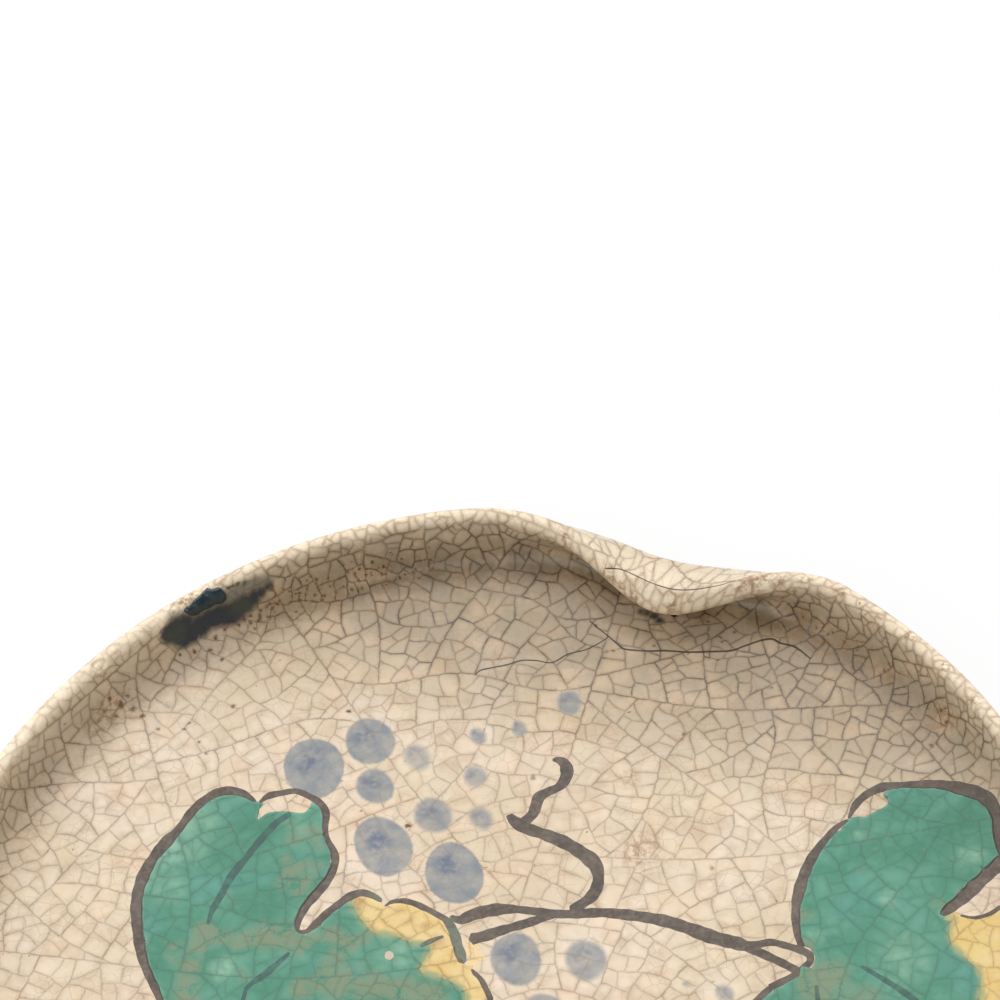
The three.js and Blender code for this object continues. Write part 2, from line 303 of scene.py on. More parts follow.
def spline(rows, step, closed=False):
    """A smooth line through the rows, with a point about every step."""
    rows = np.asarray(rows, float)
    count = len(rows) if closed else len(rows) - 1
    ends = (rows[-1:], rows[:2]) if closed else (rows[:1], rows[-1:])
    ahead = np.concatenate([ends[0], rows, ends[1]])
    line = []
    for k in range(count):
        a, b, c, d = ahead[k : k + 4]
        parts = max(1, math.ceil(np.hypot(*(c - b)[:2]) / step))
        t = (np.arange(parts) / parts)[:, None]
        curve = 2 * b + (c - a) * t + (2 * a - 5 * b + 4 * c - d) * t**2 + (3 * b - a - 3 * c + d) * t**3
        line.append(0.5 * curve)
    return np.concatenate(line if closed else line + [rows[-1:]])


def ribbon(rows, step):
    """The outline of a brush stroke."""
    line = spline(rows, step)
    ahead = np.gradient(line[:, :2], axis=0)
    ahead /= np.hypot(*ahead.T)[:, None]
    beside = np.stack([-ahead[:, 1], ahead[:, 0]], -1)
    place = np.arange(len(line))
    wobble = 1 + 0.1 * np.sin(place * 0.9 + len(line)) * np.sin(place * 0.37)
    half = (line[:, 2] / 2 * wobble)[:, None]
    line = line[:, :2]
    tip = line[-1:] + ahead[-1:] * half[-1:] * 0.6
    start = line[:1] - ahead[:1] * half[:1] * 0.6
    return np.concatenate([line + beside * half, tip, (line - beside * half)[::-1], start])


def photo_stroke(*rows):
    return seen(ribbon(rows, 3.5))


def plain_stroke(*rows):
    return ribbon(rows, 0.5)


def thin_stroke(*rows):
    """A photo stroke too thin for its edges to be looked up: only its middle line is."""
    rows = np.array(rows)
    return ribbon(np.column_stack([seen(rows), rows[:, 2] / PIXELS_PER_MM]), 0.5)


def photo_edge(*rows):
    return [tuple(place) for place in seen(rows)]


OUTLINES = [
    # left leaf
    photo_stroke(
        (160, 1000, 8), (156, 990, 8), (143.5, 961, 10), (138, 931, 12), (136.6, 902, 12), (141.6, 880, 12.5),
        (153, 858, 11), (165, 843, 12), (178.7, 829, 9), (190, 814, 9), (202, 802, 9), (217, 793, 9),
        (231.5, 791, 9), (243, 793.5, 8), (252, 799, 5), (255.7, 801.5, 2),
    ),
    photo_stroke(
        (260, 802, 3), (268, 796, 6), (281, 793, 6), (296, 791, 6), (309, 796, 6), (321, 804, 8),
        (326, 814, 8), (325, 827, 6), (327.6, 840, 6), (334, 852, 8), (334.5, 864, 8), (328, 879, 9),
        (316.6, 893, 9), (306, 905, 9), (297.5, 921, 7), (297.5, 931, 4),
    ),
    photo_stroke(
        (298, 931, 4), (306, 931, 5), (316.6, 922.6, 8), (328, 912, 8), (340, 903, 8), (350, 896, 8),
        (362, 892.5, 8), (374, 896, 7), (381, 900.6, 4),
    ),
    photo_stroke(
        (385, 906, 2), (391.5, 902, 4), (404, 901, 6.5), (418, 905, 6.5), (436.7, 914.5, 6.5),
        (447.5, 921.5, 8), (454, 933, 10), (457.5, 945, 11), (461, 956, 11), (462.5, 962, 8),
    ),
    photo_stroke((472, 970, 3), (476, 974.5, 5), (481.6, 980.6, 6), (486.3, 990, 6), (491, 1000, 6)),
    plain_stroke(
        (-42.6, 7, 1.1), (-41, 0, 1.4), (-38.5, -8, 1.5), (-33.5, -15.5, 1.3), (-26.5, -19, 1.1),
        (-20.5, -17.4, 0.8), (-17.5, -13.2, 0.4),
    ),
    plain_stroke(
        (-17.5, -13.4, 0.5), (-12.5, -16.2, 1), (-7, -15, 1.2), (-3.2, -9.5, 1.2), (-1.4, -3, 0.9),
        (-0.9, 1, 0.8),
    ),
    # right leaf
    photo_stroke(
        (801.5, 946, 7), (798, 936, 7), (796, 921, 9), (796, 907, 10), (799, 892, 12), (804.5, 874, 12),
        (812.5, 857, 10), (824, 841, 8), (837, 827, 6), (848, 820, 3),
    ),
    photo_stroke(
        (849, 818, 3), (855, 805.5, 7), (866, 794.5, 8), (881.5, 787, 9), (896, 785, 7), (917, 784, 8),
        (939, 784, 10), (961, 788, 13), (980, 794, 15), (991.5, 804, 13), (996, 819, 10), (996.6, 836, 8),
        (1003, 852, 10),
    ),
    photo_stroke(
        (1006, 853, 10), (1000, 863, 14), (990, 871.5, 14), (975, 886, 14), (961, 899, 13), (946, 911, 10),
        (941, 914, 4),
    ),
    photo_stroke((961, 915.5, 3), (975, 918, 4), (990, 914, 5), (1000, 907, 5)),
    photo_stroke((770, 987, 7), (785, 980, 7), (798, 973, 7)),
    plain_stroke(
        (34.2, -2.4, 0.9), (30, -6.5, 1.2), (28.8, -12, 1.3), (32, -18, 1.3), (38.5, -20.5, 1.2),
        (45, -19.5, 0.9), (48.5, -18, 0.5),
    ),
    plain_stroke(
        (48.5, -18.3, 0.5), (53.5, -20, 1), (59, -16.8, 1.2), (62.5, -10.5, 1.2), (65.3, -3, 1),
        (64.8, 5.2, 0.7),
    ),
]

VINE = [
    photo_stroke(
        (451, 917, 5), (460, 920, 9), (475, 914, 12), (493, 910, 13), (510, 909, 9), (524, 910, 8),
        (562, 914, 9), (607, 913, 10), (664, 921, 12), (712, 937, 14), (736, 943, 13), (750, 946, 10),
        (770, 942, 7), (785, 945, 7), (799, 949, 8),
    ),
    photo_stroke((799, 949, 8), (809, 954, 8), (810, 961, 7), (804, 967, 7), (796, 974, 6)),
    photo_stroke(
        (472, 939, 12), (485, 936, 11), (500, 931, 10), (510, 928, 9), (524, 924, 9), (540, 919, 8),
        (556, 914, 7),
    ),
    photo_stroke((736, 942, 10), (752, 949, 9), (770, 957, 9), (785, 964, 8), (798, 971, 8)),
    # tendril
    photo_stroke(
        (553, 759.5, 3), (558, 759.5, 7), (564, 763, 12), (567, 771, 13), (564.5, 780, 11), (558, 787, 9),
        (548, 791.5, 9), (539, 797, 11), (536, 805, 12), (533, 813, 11), (526, 820, 10), (521, 823, 8),
    ),
    photo_stroke(
        (507, 816, 3), (510, 817, 9), (516, 822, 12), (527, 828, 12), (547, 835, 12), (566, 843, 13),
        (582, 853, 14), (594, 863, 15), (598, 873, 13), (598, 883, 12), (594, 893, 12), (586, 901, 11),
        (572, 910, 10),
    ),
]

VEINS = [
    photo_stroke(
        (290, 814, 5), (275.5, 824, 7), (259, 842, 7), (246, 858, 7), (231.5, 876, 8), (221, 895, 7),
        (212, 911, 6), (208, 924, 3),
    ),
    photo_stroke((289, 953, 3), (277, 964, 6), (264, 975, 7), (252, 983, 5), (245, 990, 4)),
    photo_stroke((443, 937, 3), (432, 941, 5), (421, 946, 4)),
    plain_stroke((-31.6, 6.8, 0.5), (-33, 1, 0.8), (-33.5, -5, 0.8), (-31.5, -10.5, 0.4)),
    plain_stroke((-22, 3, 0.5), (-18, -2, 0.9), (-14, -8, 0.9), (-12, -12, 0.4)),
    plain_stroke((40, -3, 0.5), (39.5, -9, 0.9), (38, -14.5, 0.5)),
    plain_stroke((46, -1, 0.5), (51, -6, 0.9), (55, -11.5, 0.5)),
]

# Open cracks, below the pinch and along its crest
FISSURES = [
    thin_stroke(
        (590, 618, 1.2), (597, 624, 1.5), (609.7, 633.7, 1.8), (621, 644, 2.2), (627, 647, 2.5),
        (650, 648, 2.4), (667, 647.2, 2.7), (690, 649, 2.5), (713, 649.4, 2.7), (732, 649.4, 2.4),
        (744, 646.2, 2.2), (761, 640.4, 2.4), (772.5, 639, 2.5), (780, 643, 2.3), (793.5, 646.2, 2.6),
        (801, 651, 1.9), (811, 659, 1.2),
    ),
    thin_stroke(
        (475, 675, 0.9), (480, 670, 1.8), (493, 667, 1.6), (508, 664, 2), (521, 660, 1.8), (536, 660, 1.5),
        (552, 662, 1.6), (568, 653.5, 1.8), (585, 649, 1.7), (600, 641, 1.4), (609, 634, 1.2),
    ),
    thin_stroke(
        (605, 568.3, 0.8), (613, 568.5, 1), (623, 570, 1.1), (636.5, 576, 1.1), (652, 583, 1.2),
        (667, 588, 1.2), (686, 590, 1.2), (705, 588, 1.2), (724.5, 584, 1), (735, 580, 0.8),
    ),
]

# Edges of the enamel fields, from photograph pixels and, where the photograph ends, millimetres
LEFT_GREEN = photo_edge(
    (163, 1000), (157, 980), (151, 958), (146, 938), (147, 909), (151, 892), (156, 874), (163, 861),
    (173, 845), (186, 829), (198, 813), (212, 801), (226, 798), (240, 799), (253, 804), (259, 809),
    (258, 819), (268, 812.5), (286, 811), (303, 812.5), (312, 806), (320, 812), (321, 827), (324, 842),
    (330, 856), (329, 864), (322, 873), (315, 881.5), (308, 890), (300, 899), (294, 909), (291.6, 924),
    (294.6, 933), (303, 935), (315, 928), (333, 917), (350, 902), (355, 911), (363, 924), (374, 934),
    (396, 938), (411, 944), (429, 948), (424, 958), (419, 972), (433, 977), (448, 982), (462, 991),
    (464, 1000),
) + [
    (-5, -3), (-6.5, -9), (-9, -13.5), (-13, -14.5), (-17.2, -11.8), (-21, -15.6), (-27, -17.6), (-33, -14),
    (-37.6, -7), (-40, 0),
]
LEFT_YELLOW = photo_edge(
    (354, 902), (368, 901), (383, 905), (405, 908), (427, 911), (441, 921), (449, 934), (453, 950),
    (463, 961), (471, 973), (480, 988), (485, 1000),
) + [(-2.2, -3.2), (-4, -9), (-6, -8.8), (-4.4, -3)] + photo_edge(
    (466.5, 1000), (465, 990), (450, 979.5), (434, 974.5), (421.5, 970), (427, 958), (432, 945), (412, 941),
    (397, 935), (375.5, 931.5), (365, 922), (357, 911),
)
RIGHT_GREEN = photo_edge(
    (772, 991), (788, 985), (802, 978), (812, 968), (815, 955), (808, 944), (806, 925), (808, 905),
    (812, 889), (818, 871), (828, 856), (841, 841), (853, 829), (862, 820), (871, 813.5), (886, 805),
    (897, 792), (917, 789), (939, 791), (958, 796), (976, 803), (986, 810), (989, 822), (989, 838),
    (992, 852), (988, 862), (975, 876), (960, 890), (946, 902), (938, 909), (944, 917), (953, 919),
    (948, 930), (951, 947), (966, 961), (977, 972), (979, 988), (979, 1000),
) + [
    (57.5, -11), (52.5, -17.5), (48.5, -16.2), (44, -17.6), (38.5, -18.7), (33, -16.4), (30.3, -11.6),
    (31.6, -7),
]
RIGHT_YELLOW = photo_edge((957, 921), (974, 923), (990, 919), (1000, 912)) + [
    (64.2, -2), (61.4, -9.6), (58.8, -13.6), (59.4, -9),
] + photo_edge((982, 992), (982, 974), (968, 958), (954, 945), (951.5, 932))

DROP = seen(spline([
    (184, 611), (186, 607.5), (190.5, 605), (194, 599.8), (199, 595.7), (203, 591.2), (207, 587.4),
    (211.4, 589), (218.6, 587), (222, 589.4), (225.5, 593.7), (226.5, 599), (221.6, 604), (215.5, 604.6),
    (209.4, 608.4), (203.3, 611), (197, 615.4), (192, 616.3), (187, 614),
], 3, closed=True))

# Where enamel ran over the outline and past it: centre, width and strength
TINTS = [
    (378, 898, 16, 0.8), (372, 894, 12, 0.6), (448, 922, 14, 0.7), (455, 934, 20, 1), (459, 948, 22, 1),
    (462, 960, 20, 1),
]
SPILLS = [(472, 949, 12, 1), (476, 957, 12, 1), (474, 964, 10, 0.9), (470, 942, 8, 0.7)]

# Grapes: centre, width and strength
GRAPES = [
    (314, 768, 59, 1), (370, 741, 48, 0.95), (375, 786, 37, 0.9), (417, 757, 32, 0.62), (478, 736, 20, 0.8),
    (519, 728, 18, 0.85), (569, 702, 27, 0.8), (475, 776, 27, 0.7), (433, 815, 38, 0.82),
    (481, 818, 28, 0.66), (383, 846, 57, 0.95), (454, 873, 57, 1), (516, 959, 50, 0.9), (586, 960, 42, 0.75),
    (687, 985, 12, 0.6), (725, 993, 20, 0.75),
]
HIDDEN_GRAPES = [
    (6, -3, 6.6, 0.9), (13, -5, 5.4, 0.7), (8.5, -11, 6, 0.85), (17.5, -11.5, 4.6, 0.5), (13.5, -17, 5, 0.8),
    (20, -19, 3.4, 0.5),
]
GRAPE_STRETCH = 1.22

# Smoke that the dark drop left on the wall below it, four spots of it under the pinched lip, and a
# lighter haze round it: centre, width and strength
SMOKE = [
    (172, 633, 26, 1), (177, 628, 25, 1), (183, 637, 27, 1), (191, 633, 27, 1), (186, 624, 20, 1),
    (200, 627, 26, 1), (209, 620, 25, 1), (218, 617, 27, 1), (228, 615, 28, 1), (237, 610, 26, 1),
    (246, 604, 22, 1), (254, 598, 18, 1), (261, 593, 14, 1), (268, 587, 11, 1), (641, 611.5, 7, 1),
    (647, 613, 9, 1), (654, 616, 9, 1), (659, 620.5, 8, 1),
]
HAZE = [
    (176, 620, 20, 0.8), (195, 615, 20, 1), (204, 612, 22, 1), (214, 607, 24, 1), (224, 601, 24, 1),
    (234, 595, 22, 0.9), (245, 589, 22, 0.8), (256, 585, 22, 0.8), (266, 582, 16, 0.7),
]

# Brown specks, pits and rubbed rust: centre, width and strength
SPECKS = [
    (238, 584.5, 5, 1), (233, 586.5, 4, 1), (228.5, 588.5, 4, 1), (245, 584, 4.5, 1), (734.5, 632, 3.5, 0.7),
    (655.7, 641.4, 3, 0.9), (722.6, 641.4, 3, 0.9), (718.8, 659, 2.6, 0.8), (613.6, 649, 2.6, 0.9),
    (596.3, 622.3, 3, 0.9), (708.3, 621.3, 3.2, 0.7), (803, 617.5, 3.6, 0.7), (816, 628, 3.2, 0.7),
    (828, 634, 3.2, 0.6), (408, 825.5, 5, 1), (349, 711, 4, 1), (887, 796, 6, 1), (712, 868, 3.5, 0.5),
    (884, 670.5, 3.4, 0.7), (888.5, 670, 3, 0.6), (940, 711, 4, 0.8), (945.5, 722.5, 4.4, 0.8),
    (931.5, 744.5, 4, 0.7), (844, 642, 3.4, 0.7), (533, 777, 5, 0.4), (233, 706, 4, 0.9), (189, 723, 3, 0.8),
    (184, 729, 3, 0.7), (158, 729, 3, 0.7), (199, 742, 3, 0.6), (206, 753, 3, 0.6), (684, 734, 3.5, 0.8),
    (210, 650, 4, 0.8), (300, 600, 4, 0.9), (430, 560, 4, 0.8), (110, 699, 5, 0.8), (121, 705, 6, 0.8),
    (133, 709, 5, 0.7), (142, 716, 5, 0.8), (116, 716, 4, 0.7), (128, 696, 4, 0.6), (180, 655, 3, 0.9),
    (194.5, 652, 4, 0.9), (216, 638, 4, 0.9), (222, 659, 4, 0.8), (225, 630, 3, 0.9), (239, 625, 3.5, 0.9),
    (251, 623, 3, 0.9), (260, 618, 3.5, 0.8), (261, 610.5, 3, 0.8), (273, 608.5, 3.5, 0.8),
    (270, 604, 3, 0.8), (280, 601, 3, 0.8), (283.5, 605, 3, 0.8), (268, 617, 3, 0.7), (245, 584, 4, 0.7),
    (389, 956, 8, 0.5),
]
PIT_LINE = [(238, 628), (262, 612), (290, 599), (325, 588), (360, 578), (400, 570), (432, 564)]
PIT_COUNT = 70
PIT_SPREAD = (4, 9)
pit_dice = np.random.default_rng(21)
pit_line = spline(PIT_LINE, 1)
pit_places = pit_line[pit_dice.integers(0, len(pit_line), PIT_COUNT)]
pit_places = pit_places + pit_dice.normal(0, 1, (PIT_COUNT, 2)) * PIT_SPREAD
SPECKS += [(*place, pit_dice.uniform(1.8, 4), pit_dice.uniform(0.6, 1)) for place in pit_places]
RUST = [
    (176, 608, 14, 1), (184, 602, 14, 1), (192, 596, 12, 0.9), (640, 850, 34, 0.8), (628, 778, 20, 0.7),
    (745, 583, 14, 1), (757, 580, 16, 1), (768, 577, 14, 1), (780, 581, 12, 1), (806, 579, 12, 0.8),
    (803, 620, 34, 0.9), (822, 640, 26, 0.9), (844, 644, 20, 0.8), (887, 676, 20, 0.7), (944, 716, 34, 0.8),
    (106, 712, 26, 0.9), (96, 727, 22, 0.7), (118, 700, 20, 0.9), (634, 600, 12, 0.9), (622, 590, 10, 0.9),
    (673, 604, 10, 0.8), (605, 571, 12, 0.8), (612, 578, 10, 0.8), (745, 580, 16, 0.7), (762, 582, 18, 0.8),
    (779, 584, 12, 0.7), (690, 590, 20, 0.4), (640, 578, 16, 0.4), (868, 660, 18, 0.55), (884, 668, 20, 0.6),
    (902, 676, 16, 0.5), (925, 705, 18, 0.5), (942, 726, 16, 0.5), (125, 706, 26, 0.4), (270, 612, 34, 0.5),
    (330, 592, 34, 0.4), (380, 577, 30, 0.35), (300, 604, 30, 0.45), (655, 616, 20, 0.6), (700, 618, 26, 0.5),
    (565, 536, 12, 1), (672, 605, 10, 1), (840, 594, 11, 1), (911, 635.5, 12, 1), (945, 663, 11, 1),
    (972, 704, 12, 1), (863, 611, 10, 0.9), (800, 617, 40, 0.5),
]
CHIP = (100, 665)
CHIP_RADIUS = 1.3


def spots(rows, pixels=True):
    """Centres, radii and strengths on the flat layout."""
    rows = np.array(rows, float)
    if pixels:
        return np.column_stack([seen(rows), rows[:, 2] / PIXELS_PER_MM / 2, rows[:, 3]])
    return np.column_stack([rows[:, :2], rows[:, 2] / 2, rows[:, 3]])


grapes = np.concatenate([spots(GRAPES), spots(HIDDEN_GRAPES, pixels=False)])
smoke, specks, rust = spots(SMOKE), spots(SPECKS), spots(RUST)
tints, spills, haze = spots(TINTS), spots(SPILLS), spots(HAZE)
chip = seen([CHIP])[0]


def spot_mask(flat, places, fade, wobble=0.0):
    """The strongest of some round spots at each point: fade is the soft share of the radius."""
    mask = np.zeros(len(flat))
    for k, (x, y, radius, strength) in enumerate(places):
        away = np.hypot(flat[:, 0] - x, flat[:, 1] - y)
        turn = np.arctan2(flat[:, 1] - y, flat[:, 0] - x)
        edge = radius * (1 + wobble * np.sin(2 * turn + k) + wobble * 0.6 * np.sin(3 * turn + 2 * k))
        soft = np.clip((edge - away) / (fade * radius) + 0.5, 0, 1)
        mask = np.maximum(mask, strength * soft * soft * (3 - 2 * soft))
    return mask


def depth_in(flat, places, wobble=0.0, lean=0.0, stretch=1.0):
    """How deep each point lies in the nearest of some spots, in millimetres, and its strength.

    A spot is stretched away from the viewer, and leans from its upper left to its lower right.
    """
    depth = np.full(len(flat), -2.0)
    force = np.zeros(len(flat))
    for k, (x, y, radius, strength) in enumerate(places):
        across = flat[:, 0] - x
        away = (flat[:, 1] - y) / stretch
        turn = np.arctan2(away, across)
        bulge = wobble * (np.sin(2 * turn + k) + 0.6 * np.sin(3 * turn + 2 * k)) - lean * np.sin(2 * turn)
        here = radius * (1 + bulge) - np.hypot(across, away)
        nearer = here > depth
        depth[nearer] = here[nearer]
        force[nearer] = strength
    return depth, force


def ring_points(places, shares, spacing, stretch=1.0):
    """Extra points round some spots, so that a mesh can hold their edges."""
    points = [places[:, :2]]
    for x, y, radius, _ in places:
        for share in shares:
            count = max(6, round(2 * np.pi * radius * share / spacing))
            turn = np.arange(count) * 2 * np.pi / count + share
            reach = radius * share
            points.append(np.stack([x + reach * np.cos(turn), y + reach * stretch * np.sin(turn)], -1))
    return np.concatenate(points)


# Crackle: the glaze is split again and again, each new crack from side to side of its cell

Network = namedtuple("Network", "points segments age")
CRACK_STEP = 0.8
CRACK_PULL = 0.3
CRACK_SWAY = 0.06
LONGEST_SWAY = 40
FLOOR_CELL = 8.2
FAR_RIGHT_FINER = 3.2
WALL_CELL = 4.6
LIP_CELL = 2.9
OUTSIDE_CELL = 6.5
CELL_SPREAD = 0.3
CELL_SLACK = 1.35
LEAST_AREA = 0.3
LEAST_SHARE = 0.3
LONGEST_CELL = 4.8
CUT_TILT = 15
CUT_SHIFT = 0.05
CAREFUL_AREA = 400
CAREFUL_TRIES = 5
EDGE_AGE = 0.3
MOST_POINTS = 300000


def squeeze_at(radius):
    """True length over flat length, round the plate, at a radius of the flat layout."""
    return np.interp(radius, ARC, SECTION[:, 0]) / max(radius, 1e-6) if radius > 1 else 1.0


def coat_cell_area(centre):
    """The area of the cells at a place of the coat, in square millimetres."""
    radius = math.hypot(*centre)
    station = np.interp(radius, ARC, STATIONS)
    if station < 1.05:
        far_right = smoothstep(centre[0] + centre[1], 60, 100)
        return FLOOR_CELL - FAR_RIGHT_FINER * far_right
    if station < 1.9:
        return WALL_CELL
    return LIP_CELL if station < 3.05 else OUTSIDE_CELL


def relaxed(points, segments, fixed):
    """Pulls each point a little towards its neighbours: long cracks bend where others meet them."""
    both = np.concatenate([segments, segments[:, ::-1]])
    neighbours = np.maximum(np.bincount(both[:, 0], minlength=len(points)), 1)[:, None]
    total = np.zeros_like(points)
    np.add.at(total, both[:, 0], points[both[:, 1]])
    pulled = points + CRACK_PULL * (total / neighbours - points)
    pulled[:fixed] = points[:fixed]
    return pulled


def corner_products(loop):
    """Twice the signed area that each side of a loop spans with the origin, and where the sides end."""
    following = np.concatenate([loop[1:], loop[:1]])
    return loop[:, 0] * following[:, 1] - following[:, 0] * loop[:, 1], following


def cut(loop, local, taken, turn, shift):
    """Ends of one straight cut through a cell, after a score that is higher for rounder halves."""
    normal = np.array([math.cos(turn), math.sin(turn)])
    ahead = np.array([-normal[1], normal[0]])
    side = local @ normal - shift
    place = local @ ahead
    crossings = np.nonzero((side > 0) != (np.concatenate([side[1:], side[:1]]) > 0))[0]
    before = [i for i in crossings if place[i] < 0]
    after = [i for i in crossings if place[i] >= 0]
    if not before or not after:
        return 0, 0, 0
    ends = []
    for i in (max(before, key=lambda i: place[i]), min(after, key=lambda i: place[i])):
        near = sorted((abs(side[j % len(loop)]), j % len(loop)) for j in range(i - 2, i + 4))
        free = [j for _, j in near if loop[j] not in taken]
        ends.append(free[0] if free else near[0][1])
    first, last = sorted(ends)
    if last - first < 2 or len(loop) - (last - first) < 2:
        return 0, 0, 0
    halves = (local[first : last + 1], np.concatenate([local[last:], local[: first + 1]]))
    roundness = []
    for half in halves:
        products, following = corner_products(half)
        roundness.append(abs(products.sum()) / 2 / np.hypot(*(following - half).T).sum() ** 2)
    return min(roundness), first, last


def best_cut(loop, local, taken, turn, extent, tries, dice):
    """Ends of the best of some cuts across the longest way through a cell."""
    cuts = []
    for _ in range(tries):
        tilt = math.radians(dice.normal(0, CUT_TILT))
        cuts.append(cut(loop, local, taken, turn + tilt, extent * dice.normal(0, CUT_SHIFT)))
    return max(cuts)[1:]


def longest_way(local):
    """The direction in which a cell is longest, and how long it is."""
    (a, b), (_, c) = local.T @ local
    turn = 0.5 * math.atan2(2 * b, a - c)
    return turn, np.ptp(local @ np.array([math.cos(turn), math.sin(turn)]))


def axes_at(centre, squeeze):
    """The directions away from the plate's middle and round it, and how squeezed the layout is there."""
    radius = math.hypot(*centre)
    outward = centre / radius if radius > 1e-6 else np.array([1.0, 0.0])
    return outward, np.array([-outward[1], outward[0]]), squeeze(radius)


def wandering(start, end, length, swing, dice):
    """The points of a crack between its two ends, from which it wanders to both sides."""
    parts = max(2, round(length / CRACK_STEP))
    t = np.arange(1, parts) / parts
    wander = np.zeros(parts - 1)
    for k in (1, 2, 3):
        wander += dice.normal(0, CRACK_SWAY) * min(length, LONGEST_SWAY) / k**1.2 * np.sin(k * np.pi * t)
    return start + t[:, None] * (end - start) + wander[:, None] * swing


def crack_network(outline, cell_area, squeeze, seed):
    """Splits an outline into cells of about the area that cell_area gives for a place."""
    dice = np.random.default_rng(seed)
    points = np.zeros((MOST_POINTS, 2))
    points[: len(outline)] = outline
    used = len(outline)
    taken, age, segments = set(), {}, []
    stack = [list(range(used))]
    while stack:
        loop = stack.pop()
        cell = points[loop]
        products, following = corner_products(cell)
        area = products.sum() / 2
        if abs(area) < LEAST_AREA:
            continue
        centre = ((cell + following) * products[:, None]).sum(0) / (6 * area)
        outward, aside, tight = axes_at(centre, squeeze)
        offset = cell - centre
        local = np.stack([offset @ outward, offset @ aside * tight], -1)
        turn, extent = longest_way(local)
        limit = cell_area(centre) * math.exp(dice.normal(0, CELL_SPREAD)) * CELL_SLACK
        true_area = abs(area) * tight
        if true_area < LEAST_SHARE * limit or (true_area < limit and extent < LONGEST_CELL):
            continue
        tries = CAREFUL_TRIES if true_area < CAREFUL_AREA else 1
        first, last = best_cut(loop, local, taken, turn, extent, tries, dice)
        if first == last:
            continue
        length = np.hypot(*(local[last] - local[first]))
        direction = (local[last] - local[first]) / length
        swing = -direction[1] * outward + direction[0] / tight * aside
        path = wandering(cell[first], cell[last], length, swing, dice)
        fresh = list(range(used, used + len(path)))
        points[used : used + len(path)] = path
        used += len(path)
        strength = (0.15 + 0.85 * min(1, math.log2(true_area / limit + 1) / 4)) * dice.uniform(0.6, 1)
        chain = [loop[first], *fresh, loop[last]]
        segments.extend(zip(chain, chain[1:]))
        taken.update((loop[first], loop[last]))
        for i in chain:
            age[i] = max(age.get(i, 0), strength)
        stack.append(loop[first : last + 1] + fresh[::-1])
        stack.append(loop[last:] + loop[: first + 1] + fresh)
    ages = np.array([age.get(i, EDGE_AGE) for i in range(used)])
    segments = np.array(segments)
    return Network(relaxed(points[:used], segments, len(outline)), segments, ages)


def circle(radius, count):
    turn = np.arange(count) * 2 * np.pi / count
    return radius * np.stack([np.cos(turn), np.sin(turn)], -1)


EDGE_COUNT = 280
coat_cracks = crack_network(circle(COAT_REACH, EDGE_COUNT), coat_cell_area, squeeze_at, 5)

# Meshes over the flat layout

FAR_AWAY = 5.0


def thick(flat):
    """Flat points with a height of 0, as a search for the nearest needs them."""
    return np.column_stack([flat, np.zeros(len(flat))])


def nearest(targets, points):
    """Distance to the nearest of some targets, and which one it is."""
    tree = kdtree.KDTree(len(targets))
    for i, target in enumerate(targets.tolist()):
        tree.insert(target, i)
    tree.balance()
    found = [tree.find(point) for point in points.tolist()]
    return np.array([f[2] for f in found]), np.array([f[1] for f in found])


def within(points, outline):
    """Which points lie inside a closed outline."""
    inside = np.zeros(len(points), bool)
    low, high = outline.min(0), outline.max(0)
    candidates = np.nonzero(np.all((points > low) & (points < high), axis=1))[0]
    x, y = points[candidates].T
    odd = np.zeros(len(candidates), bool)
    for (ax, ay), (bx, by) in zip(outline, np.roll(outline, -1, axis=0)):
        if ay != by:
            odd ^= ((ay > y) != (by > y)) & (x < (bx - ax) * (y - ay) / (by - ay) + ax)
    inside[candidates[odd]] = True
    return inside


def loop_edges(start, count):
    ids = np.arange(count)
    return np.stack([start + ids, start + (ids + 1) % count], -1)


Layout = namedtuple("Layout", "flat faces crack_edges")


def triangulate(points, cracks, others):
    """Joins flat points by triangles that keep the given edges. Crack edges are told apart."""
    edges = np.concatenate([cracks, others]).astype(int).tolist()
    vectors = [Vector(p) for p in points.tolist()]
    flat, new_edges, faces, _, sources, _ = delaunay_2d_cdt(vectors, edges, [], 0, 1e-3)
    flat = np.array([v[:] for v in flat])
    faces = np.array(faces)
    a, b, c = (flat[faces[:, k]] for k in range(3))
    turned = np.cross(b - a, c - a) < 0
    faces[turned] = faces[turned][:, ::-1]
    is_crack = np.array([any(source < len(cracks) for source in found) for found in sources])
    return Layout(flat, faces, np.sort(np.array(new_edges), axis=1)[is_crack])


def crack_distances(faces, space, cracked, on_crack):
    """For each corner of each face, the distances to the up to three cracks that touch the face."""
    lengths = np.linalg.norm(space[np.roll(faces, -1, axis=1)] - space[faces], axis=2)
    a, b, c = (space[faces[:, k]] for k in range(3))
    doubled = np.linalg.norm(np.cross(b - a, c - a), axis=1)
    distances = np.full((len(faces), 3, 3), FAR_AWAY)
    for k in range(3):
        across = doubled / lengths[:, k]
        distances[cracked[:, k], :, k] = 0
        distances[cracked[:, k], (k + 2) % 3, k] = across[cracked[:, k]]
        lone = on_crack[faces[:, k]] & ~cracked[:, k] & ~cracked[:, (k + 2) % 3]
        beyond = doubled / lengths[:, (k + 1) % 3]
        distances[lone, :, k] = beyond[lone, None]
        distances[lone, k, k] = 0
    return distances.reshape(-1, 3)


